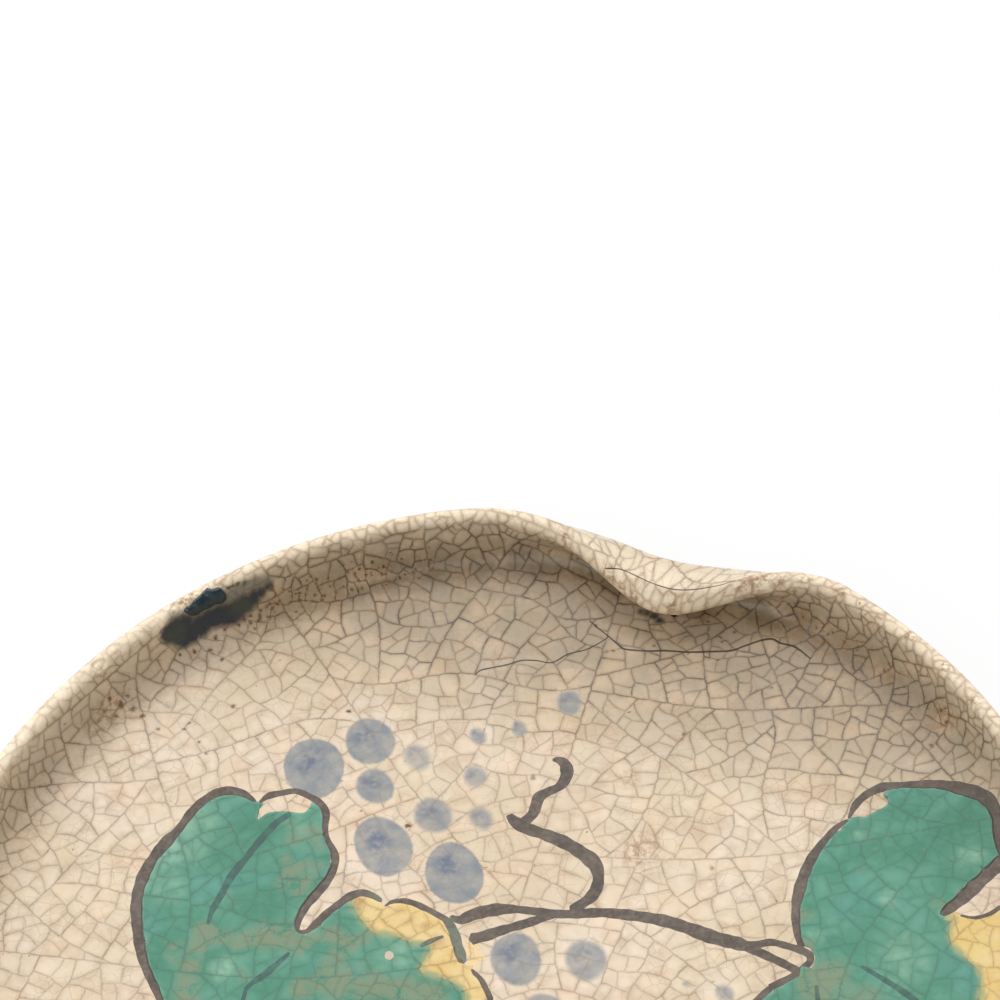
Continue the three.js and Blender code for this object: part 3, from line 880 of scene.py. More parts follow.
def cell_tones(edge_keys, crack_keys):
    """A number from 0 to 1 for each face, drawn for the cell of the crackle that the face belongs to."""
    order = np.argsort(edge_keys.ravel(), kind="stable")
    sorted_keys = edge_keys.ravel()[order]
    pair = np.nonzero((sorted_keys[1:] == sorted_keys[:-1]) & ~np.isin(sorted_keys[1:], crack_keys))[0]
    one, two = order[pair] // 3, order[pair + 1] // 3
    label = np.arange(len(edge_keys))
    while True:
        low = np.minimum(label[one], label[two])
        before = label.copy()
        np.minimum.at(label, one, low)
        np.minimum.at(label, two, low)
        label = label[label]
        if np.array_equal(before, label):
            break
    return np.random.default_rng(3).random(len(edge_keys))[label]


def crack_marks(layout, space):
    """Crack distances and cell tones for the faces of a layout."""
    count = len(space)
    faces = layout.faces
    crack_keys = layout.crack_edges[:, 0] * count + layout.crack_edges[:, 1]
    on_crack = np.zeros(count, bool)
    on_crack[layout.crack_edges] = True
    ahead = np.roll(faces, -1, axis=1)
    edge_keys = np.minimum(faces, ahead) * count + np.maximum(faces, ahead)
    cracked = np.isin(edge_keys, crack_keys)
    return crack_distances(faces, space, cracked, on_crack), cell_tones(edge_keys, crack_keys)


def crack_samples(network, place):
    """Points along all cracks, close together, and the age of the crack at each."""
    ends = network.points[network.segments]
    shares = (0, 0.25, 0.5, 0.75)
    flat = np.concatenate([ends[:, 0] * (1 - t) + ends[:, 1] * t for t in shares])
    return place(flat), np.tile(network.age[network.segments].mean(1), len(shares))


def new_piece(name, vertices, faces, material, nodes):
    mesh = bpy.data.meshes.new(name)
    mesh.from_pydata((vertices * MM).tolist(), [], faces.tolist())
    mesh.shade_smooth()
    mesh.materials.append(material)
    piece = bpy.data.objects.new(name, mesh)
    bpy.context.scene.collection.objects.link(piece)
    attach(piece, "root")
    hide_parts(*nodes)
    return mesh


def set_values(mesh, name, domain, values):
    vector = np.ndim(values) == 2
    layer = mesh.attributes.new(name, "FLOAT_VECTOR" if vector else "FLOAT", domain)
    values = np.ascontiguousarray(values, dtype=np.float32).ravel()
    layer.data.foreach_set("vector" if vector else "value", values)


def set_crack_values(mesh, distances, tone, closing):
    """How far the faces of a skin are from cracks, and their cells' tones. Its closing faces have none."""
    distances = np.concatenate([distances, np.full((closing * 3, 3), FAR_AWAY)])
    set_values(mesh, "to_crack", "CORNER", distances)
    set_values(mesh, "cell_tone", "FACE", np.concatenate([tone, np.full(closing, 0.5)]))


# Materials. Colours are written as the three 0-255 values of a screen colour.


def linear(colour):
    """A colour socket's value for a written colour."""
    channel = lambda v: v / 12.92 if v <= 0.04045 else ((v + 0.055) / 1.055) ** 2.4
    return (*(channel(v / 255) for v in colour), 1)


class Finish:
    """A material in the making. Most calls add one node and give its output."""

    def __init__(self, name):
        self.material = bpy.data.materials.new(name)
        self.material.use_nodes = True
        self.tree = self.material.node_tree
        self.shader = self.tree.nodes["Principled BSDF"]
        self.place = self.node("TexCoord", {}, "Object")
        self.colour = None

    def feed(self, socket, value):
        if isinstance(value, bpy.types.NodeSocket):
            self.tree.links.new(value, socket)
        else:
            socket.default_value = value

    def node(self, kind, inputs, output=0, **settings):
        node = self.tree.nodes.new("ShaderNode" + kind)
        for setting, value in settings.items():
            setattr(node, setting, value)
        for socket, value in inputs.items():
            self.feed(node.inputs[socket], value)
        return node.outputs[output]

    def calc(self, operation, a, b=0.0):
        return self.node("Math", {0: a, 1: b}, operation=operation)

    def plus(self, a, b):
        return self.calc("ADD", a, b)

    def minus(self, a, b):
        return self.calc("SUBTRACT", a, b)

    def most(self, a, b):
        return self.calc("MAXIMUM", a, b)

    def times(self, *values):
        product = values[0]
        for value in values[1:]:
            product = self.calc("MULTIPLY", product, value)
        return product

    def mix(self, factor, a, b):
        a, b = (linear(shade) if isinstance(shade, tuple) else shade for shade in (a, b))
        return self.node("Mix", {0: factor, 6: a, 7: b}, 2, data_type="RGBA")

    def paint(self, shade, *amounts):
        """Covers the colour so far with a shade, as much as the product of some amounts from 0 to 1."""
        self.colour = self.mix(self.times(*amounts), self.colour, shade)

    def band(self, value, low, high, to_low=0.0, to_high=1.0):
        """0 at low and 1 at high, and smooth between."""
        inputs = {"Value": value, "From Min": low, "From Max": high, "To Min": to_low, "To Max": to_high}
        return self.node("MapRange", inputs, interpolation_type="SMOOTHSTEP")

    def noise(self, size, detail=3.0, roughness=0.5):
        """Clouds about as wide as size, in millimetres."""
        inputs = {"Vector": self.place, "Scale": 1 / (size * MM), "Detail": detail, "Roughness": roughness}
        return self.node("TexNoise", inputs)

    def clouds(self, grain, *limits):
        """A band of noise. The grain is the noise's size, detail and roughness."""
        return self.band(self.noise(*grain), *limits)

    def value(self, name):
        return self.node("Attribute", {}, "Fac", attribute_name=name)

    def vector(self, name):
        return self.node("Attribute", {}, "Vector", attribute_name=name)

    def bump(self, height, depth):
        """Depth is how far the surface sinks, in millimetres, where height goes from 1 to 0."""
        return self.node("Bump", {"Height": height, "Distance": depth * MM})

    def finish(self, roughness, normal=None, **even):
        self.feed(self.shader.inputs["Base Color"], self.colour)
        self.feed(self.shader.inputs["Roughness"], roughness)
        if normal is not None:
            self.feed(self.shader.inputs["Normal"], normal)
        for socket, value in even.items():
            self.shader.inputs[socket].default_value = value
        return self.material


GLAZE_GLOSS = {"Specular IOR Level": 0.35}
GLAZE_RELIEF = 0.05
CLAY_RELIEF = 0.12
DROP_RELIEF = 0.3
HAIR_CELL = 1.7


def crack_line(f, narrow, wide):
    """1 on a crack and 0 beside it: old cracks are wider and darker. Widths are half widths."""
    x, y, z = f.node("SeparateXYZ", {0: f.vector("to_crack")}).node.outputs
    away = f.calc("MINIMUM", f.calc("MINIMUM", x, y), z)
    age = f.value("crack_age")
    lip = f.value("lip")
    half = f.plus(narrow, f.times(age, wide - narrow))
    half = f.times(half, f.clouds((0.5, 2), 0.2, 0.8, 0.6, 1.35), f.band(lip, 0.0, 1.0, 1.0, 1.3))
    share = f.calc("DIVIDE", away, half)
    line = f.most(f.band(share, 1.5, 0.2), f.band(share, 3.6, 0.5, 0.0, 0.4))
    return f.times(line, f.band(lip, 0.1, 1.0, 1.0, 0.5)), age


def glaze_finish(name, stain_amount):
    """The cream glaze without its cracks, and where its crack lines are and how old."""
    f = Finish(name)
    tone = f.value("cell_tone")
    second_tone = f.calc("FRACT", f.times(tone, 7.13))
    f.colour = f.mix(f.clouds((7, 4, 0.6), 0.35, 0.65), (232, 214, 194), (225, 209, 181))
    f.paint((208, 197, 180), second_tone, 0.3)
    f.paint((206, 184, 154), tone, 0.22)
    # painted shade and yellowing: the glaze is darkened on the far side, on the wall and under the pinched
    # lip
    f.paint((106, 93, 66), f.value("aged_and_shade"), 0.95)
    f.paint((198, 176, 142), f.clouds((22, 4, 0.55), 0.42, 0.72), stain_amount)
    f.paint((186, 164, 134), f.clouds((1.1, 4, 0.6), 0.35, 0.75), 0.14)
    f.paint((232, 198, 162), f.clouds((4.5, 4), 0.45, 0.7), 0.34)
    # painted highlight: the lip is painted much paler along its crest, where light from behind catches it
    f.paint((255, 238, 210), f.value("lip"), 0.85)
    f.paint((178, 148, 116), f.band(f.value("crack_near"), 0.8, 0.0), f.clouds((3, 3), 0.35, 0.75, 0.1, 0.5))
    line, age = crack_line(f, 0.07, 0.16)
    return f, line, age


def paint_cracks(f, line, age):
    shade = f.mix(f.clouds((9, 2), 0.4, 0.6), (116, 92, 70), (100, 88, 76))
    # crack lines are painted darker where the glaze is yellowed and where painted shade lies
    shade = f.mix(f.value("aged_and_shade"), shade, (54, 46, 34))
    shade = f.mix(f.times(f.value("lip"), 0.8), shade, (128, 88, 54))
    f.paint(shade, line, f.band(age, 0.05, 0.85, 0.4, 0.92), f.clouds((2.4, 3), 0.3, 0.7, 0.6, 1.0))


def paint_hairlines(f, bare):
    cells = f.node(
        "TexVoronoi", {"Vector": f.vector("layout"), "Scale": 1 / HAIR_CELL}, "Distance",
        feature="DISTANCE_TO_EDGE", voronoi_dimensions="2D",
    )
    f.paint((140, 112, 88), f.band(cells, 0.045, 0.01), f.clouds((6, 3), 0.4, 0.6, 0.0, 0.3), bare)


def grape_wash(f):
    """1 where the wash of a grape is full: a weak grape fades from its middle to its edge."""
    force = f.value("grape_force")
    edge = f.plus(f.value("grape"), f.times(f.noise(0.7, 3), 0.3))
    reach = f.plus(f.times(f.minus(1.0, force), 2.2), 0.34)
    strength = f.band(force, 0.4, 1.0, 0.62, 1.0)
    return f.times(f.band(edge, 0.0, reach), strength, f.clouds((1.8, 4, 0.6), 0.25, 0.7, 0.78, 1.0))


def paint_pits(f):
    """Paints the brown specks, and gives 1 at the bottom of their pits."""
    edge = f.plus(f.value("speck"), f.times(f.noise(0.35, 2), 0.4))
    pit = f.times(f.band(edge, 0.08, 0.34), f.value("speck_force"))
    f.paint((150, 120, 86), f.band(edge, -0.2, 0.3, 0.0, 0.45))
    f.paint(f.mix(f.noise(1.5, 2), (62, 44, 32), (110, 72, 42)), pit, 0.92)
    return pit


def paint_smoke(f):
    f.paint((104, 107, 98), f.value("haze"), f.clouds((1.6, 4, 0.6), 0.25, 0.6, 0.65, 0.95))
    edge = f.plus(f.value("smoke"), f.times(f.noise(1.2, 4, 0.65), 1.1))
    f.paint((98, 74, 54), f.band(edge, 0.0, 0.5, 0.0, 0.4))
    dark = f.mix(f.clouds((5, 3), 0.4, 0.6), (42, 52, 62), (60, 68, 62))
    f.paint(dark, f.band(edge, 0.15, 1.15, 0.0, 0.97))


def coat_finish():
    f, line, age = glaze_finish("crackle_glaze", 0.4)
    f.paint((152, 112, 72), f.value("rubbed"), f.clouds((0.9, 5, 0.7), 0.42, 0.6), 0.85)
    f.paint((112, 84, 58), f.clouds((0.9, 2), 0.735, 0.77), f.clouds((14, 2), 0.42, 0.6), 0.75)
    grape = grape_wash(f)
    bare = f.minus(1.0, f.times(f.most(grape, f.value("ink")), 0.75))
    line = f.times(line, bare)
    f.paint(f.mix(f.clouds((2.6, 3), 0.32, 0.68), (141, 144, 141), (112, 123, 135)), grape, 0.92)
    f.paint((70, 88, 120), f.value("grape_mark"), f.clouds((0.9, 3), 0.35, 0.6, 0.3, 1.0), 0.6)
    ink = f.mix(f.clouds((2.6, 4, 0.6), 0.35, 0.65), (62, 52, 45), (89, 78, 70))
    ink = f.mix(f.times(f.value("tint"), 0.8), ink, (104, 116, 96))
    f.paint((232, 200, 130), f.value("spill"), f.clouds((1.2, 3), 0.25, 0.6, 0.6, 0.95))
    f.paint(ink, f.value("ink"), f.clouds((0.7, 3), 0.2, 0.6, 0.86, 0.97))
    paint_cracks(f, line, age)
    paint_hairlines(f, bare)
    pit = paint_pits(f)
    paint_smoke(f)
    f.paint((56, 44, 34), f.value("fissure"), 0.93)
    height = f.plus(f.minus(1.0, f.times(line, 0.25)), f.times(f.noise(1.3, 3), 0.3))
    roughness = f.clouds((5, 4), 0.3, 0.7, 0.26, 0.4)
    return f.finish(roughness, f.bump(f.minus(height, pit), GLAZE_RELIEF), **GLAZE_GLOSS)


def base_finish():
    f, line, age = glaze_finish("crackle_glaze_base", 0.8)
    paint_cracks(f, line, age)
    height = f.minus(f.times(f.noise(1.3, 3), 0.35), f.times(line, 0.3))
    return f.finish(f.clouds((5, 4), 0.3, 0.7, 0.28, 0.42), f.bump(height, GLAZE_RELIEF), **GLAZE_GLOSS)


def enamel_finish(name, worn_amount, deep, pale, worn, cracked, cool, light, dark):
    f = Finish(name)
    f.colour = f.mix(f.clouds((5, 4, 0.6), 0.35, 0.65), deep, pale)
    f.paint(pale, f.value("cell_tone"), 0.3)
    f.paint(cool, f.clouds((7, 2), 0.5, 0.66), 0.35)
    f.paint(light, f.value("pale"), f.clouds((1.6, 4), 0.25, 0.6, 0.3, 0.8))
    f.paint(dark, f.value("deep"), f.clouds((2, 4), 0.3, 0.65, 0.3, 0.9))
    f.paint(light, f.band(f.plus(f.value("to_edge"), f.times(f.noise(0.8, 3), 0.4)), 0.75, 0.2), 0.3)
    seam = f.plus(f.value("seam"), f.times(f.minus(f.noise(1.4, 4, 0.6), 0.5), 0.9))
    f.paint((146, 154, 112), f.band(seam, 0.3, 0.95, 0.0, 0.92))
    f.paint(deep, f.band(f.value("crack_near"), 0.9, 0.1), 0.4)
    patches = f.times(f.value("worn"), f.clouds((1.7, 5, 0.65), 0.34, 0.48))
    patches = f.most(patches, f.times(f.clouds((3, 5, 0.65), 0.6, 0.7), worn_amount))
    f.paint(worn, patches, 0.85)
    line, age = crack_line(f, 0.09, 0.18)
    f.paint(cracked, line, f.band(age, 0.1, 0.9, 0.22, 0.55))
    f.paint((46, 74, 72), f.value("vein"), f.clouds((1.2, 3), 0.3, 0.6, 0.55, 0.85))
    f.paint((82, 76, 70), f.value("ink"), 0.9)
    f.paint((208, 184, 166), f.value("bare"), 0.85)
    height = f.minus(f.times(f.noise(1.5, 3), 0.5), f.times(line, 0.25))
    return f.finish(f.band(patches, 0.0, 1.0, 0.16, 0.38), f.bump(height, GLAZE_RELIEF), **GLAZE_GLOSS)


def clay_finish():
    f = Finish("clay")
    f.colour = f.mix(f.clouds((9, 5, 0.6), 0.35, 0.65), (172, 146, 112), (140, 112, 82))
    f.paint((96, 76, 56), f.clouds((0.7, 4, 0.7), 0.5, 0.8), 0.5)
    f.paint((66, 46, 34), f.clouds((0.5, 1), 0.72, 0.78))
    grit = f.noise(0.35, 5, 0.7)
    return f.finish(f.band(grit, 0.3, 0.7, 0.78, 0.94), f.bump(grit, CLAY_RELIEF))


def drop_finish():
    f = Finish("dark_glaze")
    f.colour = f.mix(f.clouds((1.2, 3), 0.4, 0.65), (24, 42, 52), (46, 62, 66))
    return f.finish(f.clouds((2, 2), 0.3, 0.7, 0.08, 0.18), f.bump(f.noise(1.1, 2), DROP_RELIEF))


clay = clay_finish()
crackle_glaze = coat_finish()

# The glaze coat, one skin over the food side, the lip and the outside, closed by a plain inner skin

ROW_SHARE = 0.87
LIP_STATION = 2.4
CHIP_DEPTH = 0.42
INNER_DEPTH = 0.6
FOLD_LOW = 1.71
FOLD_LOW_SPREAD = 0.2
FOLD_HIGH = 1.835
INK = OUTLINES + VINE


def lattice_spacing(station):
    for end, spacing in ((0.93, 1.5), (1.85, 0.85), (3.4, 0.47), (4.05, 1.5)):
        if station < end:
            return spacing
    return 2


def coat_lattice():
    rings = []
    radius = 0.7
    while radius < COAT_REACH - 0.4:
        gap = lattice_spacing(np.interp(radius, ARC, STATIONS))
        count = max(6, round(2 * np.pi * np.interp(radius, ARC, SECTION[:, 0]) / gap))
        turn = (np.arange(count) + chance.random()) * 2 * np.pi / count
        rings.append(radius * np.stack([np.cos(turn), np.sin(turn)], -1))
        radius += ROW_SHARE * gap
    return np.concatenate(rings)


def finer_on_lip(network):
    """The network with a point put into the middle of each crack segment that runs over the lip."""
    middles = network.points[network.segments].mean(1)
    stations = station_at(middles)
    chosen = (stations > 1.8) & (stations < 3.45)
    extra = np.arange(np.count_nonzero(chosen)) + len(network.points)
    first, last = network.segments[chosen].T
    segments = np.concatenate([
        network.segments[~chosen], np.stack([first, extra], -1), np.stack([extra, last], -1),
    ])
    ages = np.concatenate([network.age, network.age[network.segments[chosen]].mean(1)])
    return Network(np.concatenate([network.points, middles[chosen]]), segments, ages)


coat_network = finer_on_lip(coat_cracks)
samples, sample_age = crack_samples(coat_network, on_coat)


def marked_points(network, marks, extra):
    """Network points, mark outlines and lattice points, with the edges that must be kept."""
    start = len(network.points)
    edges = []
    for mark in marks:
        edges.append(loop_edges(start, len(mark)))
        start += len(mark)
    return np.concatenate([network.points, *marks, extra]), np.concatenate(edges)


def inside_any(faces, flat, outlines):
    """1 for each face whose middle lies inside one of some outlines."""
    middles = flat[faces].mean(1)
    inside = np.zeros(len(faces), bool)
    for outline in outlines:
        inside |= within(middles, outline)
    return inside


def fold_at(flat):
    """Where the tight fold under the pinched lip starts, how far up it points are, and how full it is."""
    roll = pinch_at(flat)
    low = FOLD_LOW - FOLD_LOW_SPREAD * roll
    share = (station_at(flat) - low) / (FOLD_HIGH - low)
    return low, share, np.where((share > 0) & (share < 1), smoothstep(roll, 0.15, 0.4), 0)


def on_pooled_coat(flat, lift):
    """The same as on_coat, with glaze pooled in the fold."""
    low, share, full = fold_at(flat)
    full = full[:, None]
    turn = flat / np.maximum(np.hypot(*flat.T), 1e-6)[:, None]
    below = on_coat(turn * np.interp(low, STATIONS, ARC)[:, None], lift)
    above = on_coat(turn * np.interp(FOLD_HIGH, STATIONS, ARC), lift)
    return on_coat(flat, lift) * (1 - full) + (below + (above - below) * share[:, None]) * full


def coat_place(flat):
    """The coat's skin, with its chip, and thinned out at its wiped edge beside the foot."""
    from_chip = np.hypot(*(flat - chip).T)
    chipped = CHIP_DEPTH * smoothstep(from_chip, CHIP_RADIUS, CHIP_RADIUS * 0.55)
    wiped = 0.3 * smoothstep(np.hypot(*flat.T), COAT_REACH - 1.4, COAT_REACH) ** 2
    return on_pooled_coat(flat, -chipped - wiped)


def coat_points():
    """Points between the cracks: an even lattice, and rings where a mark needs a clean edge."""
    lattice = coat_lattice()
    near, _ = nearest(samples, on_coat(lattice))
    gaps = np.array([lattice_spacing(s) for s in station_at(lattice)])
    return np.concatenate([
        lattice[near > 0.3 * gaps],
        ring_points(grapes, (0.3, 0.6, 0.82, 0.92, 1.02, 1.12), 0.5, GRAPE_STRETCH),
        ring_points(specks, (0.6, 1.1, 2.0), 0.3),
        ring_points(np.concatenate([smoke, haze]), (0.35, 0.7, 1.05, 1.4), 0.5),
        ring_points(rust, (0.5, 1.0, 1.5), 0.8),
        ring_points(np.array([[*chip, CHIP_RADIUS, 1]]), (0.2, 0.4, 0.55, 0.7, 0.85, 1.0, 1.15), 0.25),
    ])


def inner_skin(flat):
    """Points and faces of the plain skin that closes the coat, joined to its wiped edge."""
    rim = np.nonzero(np.hypot(*flat.T) > COAT_REACH - 1e-3)[0]
    rim = rim[np.argsort(np.arctan2(flat[rim, 1], flat[rim, 0]))]
    stations = np.concatenate([
        np.linspace(WIPED_STATION, 3, 10), np.linspace(3, 2, 13)[1:], np.linspace(2, 1, 25)[1:], [0.7, 0.35],
    ])
    radii = np.interp(stations, STATIONS, ARC)
    points = [on_pooled_coat(flat[rim] / COAT_REACH * radius, -INNER_DEPTH) for radius in radii]
    points.append(on_coat(np.array([[1e-6, 0.0]]), -INNER_DEPTH))
    points = np.concatenate(points)
    count = len(rim)
    rows = [rim] + [len(flat) + k * count + np.arange(count) for k in range(len(radii))]
    faces = []
    for outer_row, inner_row in zip(rows, rows[1:]):
        a, b = outer_row, np.roll(outer_row, -1)
        c, d = inner_row, np.roll(inner_row, -1)
        faces += [np.stack([a, c, b], -1), np.stack([b, c, d], -1)]
    middle = np.full(count, len(flat) + len(points) - 1)
    faces.append(np.stack([rows[-1], middle, np.roll(rows[-1], -1)], -1))
    return points, np.concatenate(faces)


def age_and_shade_at(flat):
    """How much the glaze has yellowed, with painted shade mixed in: most on the far side and on the wall, and
    painted shade under the pinched lip.
    """
    x, y, _ = on_coat(flat).T
    station = station_at(flat)
    climb = smoothstep(station, 0.95, 1.2)
    wall = climb * smoothstep(station, 2.2, 1.8)
    far_wall = climb * smoothstep(y, 20, 64)
    aged_and_shade = smoothstep(y + 0.45 * x, 38, 62) * (0.65 + 0.35 * far_wall) * np.where(station < 3, 1, 0.5)
    return np.clip(np.maximum(aged_and_shade, 0.44 * wall) + 0.3 * wall * pinch_at(flat), 0, 1)


def rubbed_at(flat):
    """Where the glaze is rubbed to a rusty tone: in places, and faintly on the lip and in the crease."""
    station = station_at(flat)
    lip = 0.16 * np.exp(-((station - 2.45) / 0.45) ** 2)
    crease = 0.3 * np.exp(-((station - 1.12) / 0.12) ** 2)
    return np.clip(spot_mask(flat, rust, 1.6) + lip + crease, 0, 1)


def point_values(flat, space):
    """The values at the points of the coat's skin, each with the value that its inner skin takes."""
    near, which = nearest(samples, space)
    aged_and_shade = age_and_shade_at(flat)
    # cracks count as older, so wider and darker, where the glaze is yellowed and where painted shade lies
    crack_age = (sample_age[which] * (0.5 + 0.5 * aged_and_shade) + 0.25 * aged_and_shade) * (1 - fold_at(flat)[2])
    from_lip = station_at(flat) - LIP_STATION
    blots = grapes.copy()
    blots[:, :2] += grapes[:, 2:3] * (-0.22, 0.3)
    blots[:, 2] *= 0.42
    grape, grape_force = depth_in(flat, grapes, 0.035, 0.06, GRAPE_STRETCH)
    speck, speck_force = depth_in(flat, specks, 0.2)
    smoke_depth, _ = depth_in(flat, smoke, 0.05)
    return {
        "crack_near": (near, 5),
        "grape": (grape, -2),
        "grape_force": (grape_force, 0),
        "grape_mark": (spot_mask(flat, blots, 1.1, 0.2), 0),
        "speck": (speck, -2),
        "speck_force": (speck_force, 0),
        "smoke": (smoke_depth, -2),
        "haze": (spot_mask(flat, haze, 1.1, 0.1), 0),
        "tint": (spot_mask(flat, tints, 0.8, 0.1), 0),
        "spill": (spot_mask(flat, spills, 0.8, 0.2), 0),
        "aged_and_shade": (aged_and_shade, 0.5),
        "crack_age": (crack_age, 0),
        # a band along the lip: it carries the painted highlight there, and changes the cracks on the lip
        "lip": (np.exp(-((from_lip / np.where(from_lip > 0, 0.8, 0.5)) ** 2)), 0),
        "rubbed": (rubbed_at(flat), 0),
    }


def skin_normals(flat):
    """Which way the coat's skin faces at each point, so that small triangles don't show."""
    step = 0.02
    across = coat_place(flat + (step, 0)) - coat_place(flat - (step, 0))
    away = coat_place(flat + (0, step)) - coat_place(flat - (0, step))
    normals = np.cross(across, away)
    return normals / np.linalg.norm(normals, axis=1)[:, None]


def coat_mesh():
    points, kept = marked_points(coat_network, INK + FISSURES, coat_points())
    points = np.concatenate([points, circle(COAT_REACH, EDGE_COUNT)])
    layout = triangulate(points, coat_network.segments, kept)
    flat, faces = layout.flat, layout.faces
    space = coat_place(flat)
    inner, closing = inner_skin(flat)
    mesh = new_piece(
        "glaze", np.concatenate([space, inner]), np.concatenate([faces, closing]), crackle_glaze,
        ["glaze_coat"],
    )
    set_crack_values(mesh, *crack_marks(layout, space), len(closing))
    for name, marks in (("ink", INK), ("fissure", FISSURES)):
        inside = inside_any(faces, flat, marks)
        set_values(mesh, name, "FACE", np.concatenate([inside, np.zeros(len(closing))]))
    for name, (values, on_inner) in point_values(flat, space).items():
        set_values(mesh, name, "POINT", np.concatenate([values, np.full(len(inner), on_inner)]))
    set_values(mesh, "layout", "POINT", thick(np.concatenate([flat, np.zeros((len(inner), 2))])))
    normals = np.concatenate([skin_normals(flat), np.zeros((len(inner), 3))])
    mesh.normals_split_custom_set_from_vertices(normals.tolist())


coat_mesh()

# Raised pieces: the enamel fields, the dark drop, and the glaze inside the foot

UNDERSIDE = -0.03
LEAST_LIFT = 0.01
NO_CRACKS = Network(np.zeros((0, 2)), np.zeros((0, 2), int), np.zeros(0))


def counterclockwise(outline):
    return outline if np.cross(outline, np.roll(outline, -1, axis=0)).sum() > 0 else outline[::-1]


def outward_of(outline):
    """Unit vectors that point out of a counterclockwise outline."""
    ahead = np.roll(outline, -1, axis=0) - np.roll(outline, 1, axis=0)
    ahead /= np.hypot(*ahead.T)[:, None]
    return np.stack([ahead[:, 1], -ahead[:, 0]], -1)


def pool_points(outline, dense, rounding, gap):
    """Points inside an outline: rings along its rounded edge, and a lattice within them."""
    outward = outward_of(outline)
    points = []
    for share in (0.15, 0.45, 1.0):
        ring = outline - outward * rounding * share
        clear = nearest(thick(dense), thick(ring))[0] > 0.9 * rounding * share
        points.append(ring[clear & within(ring, outline)])
    low, high = outline.min(0), outline.max(0)
    columns, rows = np.meshgrid(np.arange(low[0], high[0], gap), np.arange(low[1], high[1], gap * ROW_SHARE))
    columns = columns + (np.arange(len(columns)) % 2)[:, None] * gap / 2
    grid = np.stack([columns.ravel(), rows.ravel()], -1)
    grid = grid[within(grid, outline)]
    clear = nearest(thick(dense), thick(grid))[0] > rounding + 0.2
    return np.concatenate([*points, grid[clear]])


def network_within(network, outline):
    """The part of a crack network that reaches into an outline."""
    reaching = within(network.points, outline)
    chosen = network.segments[reaching[network.segments].any(1)]
    ids = np.unique(chosen)
    renumbered = np.zeros(len(network.points), int)
    renumbered[ids] = np.arange(len(ids))
    return Network(network.points[ids], renumbered[chosen], network.age[ids])


def layout_within(layout, outline):
    """The faces of a layout that lie inside an outline, with only the points that they use."""
    faces = layout.faces[within(layout.flat[layout.faces].mean(1), outline)]
    used, renumbered = np.unique(faces, return_inverse=True)
    numbers = np.full(len(layout.flat), -1)
    numbers[used] = np.arange(len(used))
    crack_edges = numbers[layout.crack_edges]
    return Layout(layout.flat[used], renumbered.reshape(-1, 3), crack_edges[(crack_edges >= 0).all(1)])


def closed_below(faces, count):
    """Faces for the sides and the underside of a pool, and the top face that each side face adjoins."""
    edges = np.stack([faces.ravel(), np.roll(faces, -1, axis=1).ravel()], -1)
    keys = edges.min(1) * count + edges.max(1)
    unique, counts = np.unique(keys, return_counts=True)
    on_rim = np.isin(keys, unique[counts == 1])
    a, b = edges[on_rim].T
    sides = np.concatenate([np.stack([a, a + count, b], -1), np.stack([b, a + count, b + count], -1)])
    adjoining = np.tile(np.repeat(np.arange(len(faces)), 3)[on_rim], 2)
    return np.concatenate([sides, faces[:, ::-1] + count]), adjoining


def raised_mesh(
    name, outline, height, rounding, network, place, material, nodes, marks=None, gap=1.1,
    downwards=False,
):
    """A pool with a rounded edge inside a flat outline, with the cracks of the glaze below.

    It gives the mesh, and where the points of its top and of its underside lie on the flat layout.
    """
    outline = counterclockwise(outline)
    dense = spline(outline, 0.1, closed=True)
    network = network_within(network, outline)
    marks = {
        kind: [mark for mark in group if within(mark, outline).any()] for kind, group in (marks or {}).items()
    }
    edges = [outline, *(mark for group in marks.values() for mark in group)]
    points, kept = marked_points(network, edges, pool_points(outline, dense, rounding, gap))
    layout = layout_within(triangulate(points, network.segments, kept), outline)
    flat, faces = layout.flat, layout.faces
    to_edge = nearest(thick(dense), thick(flat))[0]
    dome = np.sqrt(1 - (1 - np.clip(to_edge / rounding, 0, 1)) ** 2)
    top = place(flat, LEAST_LIFT + height * dome)
    bottom = place(flat, np.full(len(flat), UNDERSIDE))
    closing, adjoining = closed_below(faces, len(flat))
    distances, tone = crack_marks(layout, top)
    everything = np.concatenate([faces, closing])
    if downwards:
        everything = everything[:, ::-1]
        distances = distances.reshape(-1, 3, 3)[:, ::-1].reshape(-1, 3)
    mesh = new_piece(name, np.concatenate([top, bottom]), everything, material, nodes)
    set_crack_values(mesh, distances, tone, len(closing))
    if len(network.points):
        place_samples, ages = crack_samples(network, lambda p: place(p, 0.0 * p[:, 0]))
        near, which = nearest(place_samples, top)
        set_values(mesh, "crack_near", "POINT", np.tile(near, 2))
        set_values(mesh, "crack_age", "POINT", np.tile(ages[which], 2))
    set_values(mesh, "to_edge", "POINT", np.tile(to_edge, 2))
    for kind, group in marks.items():
        inside = inside_any(faces, flat, group)
        set_values(mesh, kind, "FACE", np.concatenate([inside, inside[adjoining], inside]))
    return mesh, np.concatenate([flat, flat])


def drawn_to(outline, lines, reach, past, blocked=()):
    """Moves an edge outwards to the lines beside it, and past them, so that no gap is left."""
    outline = counterclockwise(outline)
    outward = outward_of(outline)
    away, which = nearest(thick(lines), thick(outline))
    facing = ((lines[which] - outline) * outward).sum(1) > 0.5 * away
    shift = np.where(facing, (away + past) * smoothstep(away, reach, reach * 0.7), 0)
    for mark in blocked:
        shift[within(outline, mark)] = 0
    return outline + outward * shift[:, None]


